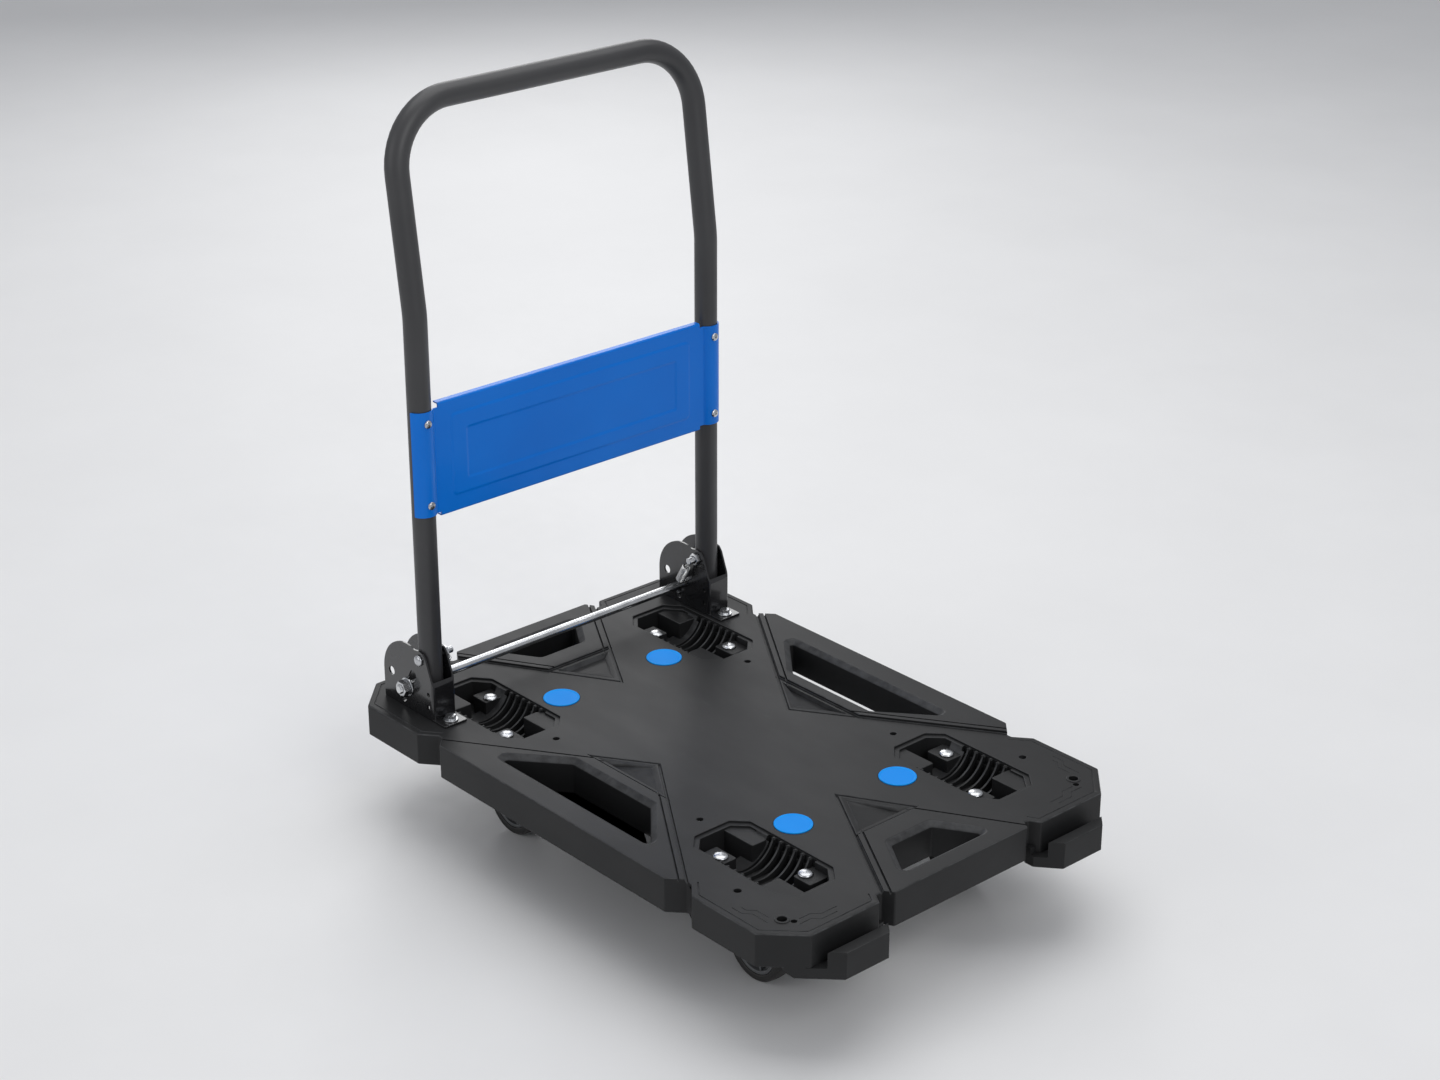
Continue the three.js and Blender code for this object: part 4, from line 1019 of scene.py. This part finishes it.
def swivel_plate_mesh():
    race = turned([(0.0, CROWN + 0.3), (24.4, CROWN + 0.3), (25.6, CROWN + 1.0), (26, CROWN + 2.2),
                   (25.2, CROWN + 3.6), (23.4, PLATE_LOW + 0.2), (0.0, PLATE_LOW + 0.2)], 72, "z")
    pin = moved(shaft(20, 6.2, 0.1, 32, "z"), 0, 0, CROWN + 6)
    return cut(join(plate_mesh(), race), pin)


def swivel_fork_mesh():
    crown = turned([(0.0, CROWN - 4), (25, CROWN - 4), (27, CROWN - 2.4), (27, CROWN - 1.2), (25.6, CROWN),
                    (0.0, CROWN)], 72, "z")
    top = slab(fillet(box_line(-24, 26, -FORK_INNER - 1, FORK_INNER + 1), 3), CROWN - 4, CROWN - 0.2, top=0.8)
    legs = leg_plates([(-24, CROWN - 0.2), (-24, CROWN - 11), (10, 60), (20, 34), (27, 26), (37, 26),
                       (44, 34), (44, 46), (26, CROWN - 0.2)], 5)
    body = join(crown, top, *legs, *axle_beads(TRAIL, 9.0))
    return cut(body, moved(shaft(24, 6.2, 0.1, 32, "z"), 0, 0, CROWN), axle_bore(TRAIL))


def kingpin_mesh():
    head = [(0.0, -8), (8.6, -8), (9.8, -7), (10, -5.4), (9.6, -4.4), (6, -4.3)]
    end = [(6, -0.6), (5.4, -0.2), (0.0, -0.2)]
    return turned([(r, CROWN + z) for r, z in head] + [(r, PLATE_TOP + z) for r, z in end], 48, "z")


def tyre_mesh():
    half = WHEEL_HALF
    crown = [(WHEEL - 0.035 * abs(t) ** 1.35, t) for t in range(-9, 1, 3)]
    wall = [(29.2, -half + 1.2), (30.2, -half + 0.4), (34, -half), (35.4, -half + 0.5), (36.5, -half + 1.7)]
    profile = there_and_back(wall + crown)
    profile.remove(crown[-1])  # the middle of the tread is there twice
    return turned(profile, 96)


def core_mesh():
    hub = FORK_INNER - 0.5
    half = [(4.3, -hub), (8.4, -hub), (9, -hub + 0.8), (9.6, -4.6), (10.6, -3.8), (23.6, -3.2), (24.8, -4.2),
            (25.4, -10.4), (26.2, -11.2), (28.4, -11.2), (28.8, -10.6)]
    body = turned(there_and_back(half), 80)
    ribs = []
    for k in range(5):
        rib = lying(slab(box_line(8.5, 25.2, -1.3, 1.3), -9.5, 9.5, top=0.6, bottom=0.6))
        rib.transform(Matrix.Rotation(2 * math.pi * k / 5, 4, "Y"))
        ribs.append(rib)
    return join(body, *ribs)


def axle_mesh():
    end = FORK_INNER + FORK_SHEET + 1.2
    rod = moved(shaft(2 * end + 5, 4, 0.5, 32), 0, 1.5, 0)
    head = facing(hex_nut(4.0, 11.3, 0), "y", -1)
    nut = facing(hex_nut(4.6, 11.3, 0), "y", 1)
    return join(rod, moved(head, 0, -end + 0.2, 0), moved(nut, 0, end - 0.2, 0))


def caster_bolt_mesh():
    seat = DECK_AT.z / MM - 10 + 0.3
    low = PLATE_LOW - 0.3
    head = moved(dome_head(8.0, 3.4, cross=False), 0, 0, seat)
    square = slab(fillet(box_line(-2.9, 2.9, -2.9, 2.9), 0.6, 2), seat - 3, seat + 0.4)
    rod = moved(shaft(seat - low + 9, 4, 0.6, 28, "z"), 0, 0, (seat + low - 7) / 2)
    return join(head, square, rod, moved(hex_nut(6, 12.2, 0), 0, 0, low - 6))


for end, end_sign in ENDS:
    for side, side_sign in SIDES:
        name = f"{end}_{side}"
        base = Vector((DECK_AT.x + end_sign * NEST_X * MM, side_sign * NEST_Y * MM, 0))
        trail = 0 if end_sign > 0 else TRAIL
        holder = "deck" if end_sign > 0 else f"swivel_{side}"
        if end_sign > 0:
            zinc_piece(f"caster_fork_{name}", fixed_fork_mesh(), base, holder, f"fixed_fork_{side}")
        else:
            zinc_piece(f"caster_plate_{name}", swivel_plate_mesh(), base, "deck", f"swivel_plate_{side}")
            zinc_piece(f"caster_fork_{name}", swivel_fork_mesh(), base, holder, f"swivel_fork_{side}")
            zinc_piece(f"caster_kingpin_{side}", kingpin_mesh(), base, "deck", f"kingpin_{side}")
        hub_at = base + Vector((trail, 0, WHEEL)) * MM
        wheel = f"wheel_{name}"
        piece(f"caster_tyre_{name}", tyre_mesh(), hub_at, wheel, TYRE_RUBBER, [f"tyre_{name}"])
        piece(f"caster_core_{name}", core_mesh(), hub_at, wheel, CORE_PLASTIC, [f"wheel_core_{name}"])
        zinc_piece(f"caster_axle_{name}", axle_mesh(), hub_at, holder, f"axle_{name}")
        for place, (u, v) in zip(("inner", "outer"), CASTER_BOLTS[::-1]):
            at = base + Vector((end_sign * u, side_sign * v, 0)) * MM
            zinc_piece(f"carriage_bolt_{name}_{place}", caster_bolt_mesh(), at, "deck",
                       f"caster_bolt_{name}_{place}")


# ---- floor, light and camera
FLOOR_HALF = 8
EYE = Vector((1.9707, -1.7798, 1.5568))  # beyond the hook end, to the right, and above the cart
AIM = Vector((-0.02, 0.0, 0.362))
LENS, SENSOR = 71, 36  # millimetres


def pale_floor():
    g = Graph("floor")
    colour = g.mix(g.levels(g.noise(3.0, 4.0), 0.3, 0.7), (0.80, 0.80, 0.80), (0.83, 0.83, 0.83))
    rough = g.levels(g.noise(40.0, 4.0), 0.3, 0.7, 0.55, 0.65)
    return g.finish(colour, rough, g.bump(g.noise(300.0, 2.0), 0.05, 0.2))


floor_corners = [(x, y, 0) for x, y in box_line(-FLOOR_HALF, FLOOR_HALF, -FLOOR_HALF, FLOOR_HALF)]
floor = added("floor", mesh_from(floor_corners, [(0, 1, 2, 3)]))
floor.data.materials.append(pale_floor())


def soft_light(name, at, toward, width, height, watts):
    """Area light in metres and watts."""
    light = bpy.data.lights.new(name, "AREA")
    light.shape = "RECTANGLE"
    light.size, light.size_y, light.energy = width, height, watts
    obj = added(name, light)
    obj.location = at
    obj.rotation_euler = (Vector(toward) - Vector(at)).to_track_quat("-Z", "Y").to_euler()


soft_light("overhead", (-0.4, 0.5, 3.0), (0, 0, 0.1), 3.2, 2.6, 44)
soft_light("key", (3.0, -0.6, 2.2), (0, 0, 0.3), 1.6, 1.8, 26)
soft_light("fill", (-0.8, -3.0, 1.6), (0, 0, 0.2), 2.4, 1.6, 13)
soft_light("back", (-2.6, 1.8, 1.7), (0, 0, 0.3), 1.2, 1.8, 20)

world = bpy.data.worlds.new("studio")
world.use_nodes = True
world.node_tree.nodes["Background"].inputs["Color"].default_value = (0.93, 0.95, 1.0, 1.0)
world.node_tree.nodes["Background"].inputs["Strength"].default_value = 0.42
bpy.context.scene.world = world

camera = added("camera", bpy.data.cameras.new("camera"))
camera.data.lens = LENS
camera.data.sensor_width = SENSOR
camera.location = EYE
camera.rotation_euler = (AIM - EYE).to_track_quat("-Z", "Y").to_euler()
bpy.context.scene.camera = camera

bpy.context.scene.view_settings.view_transform = "Standard"
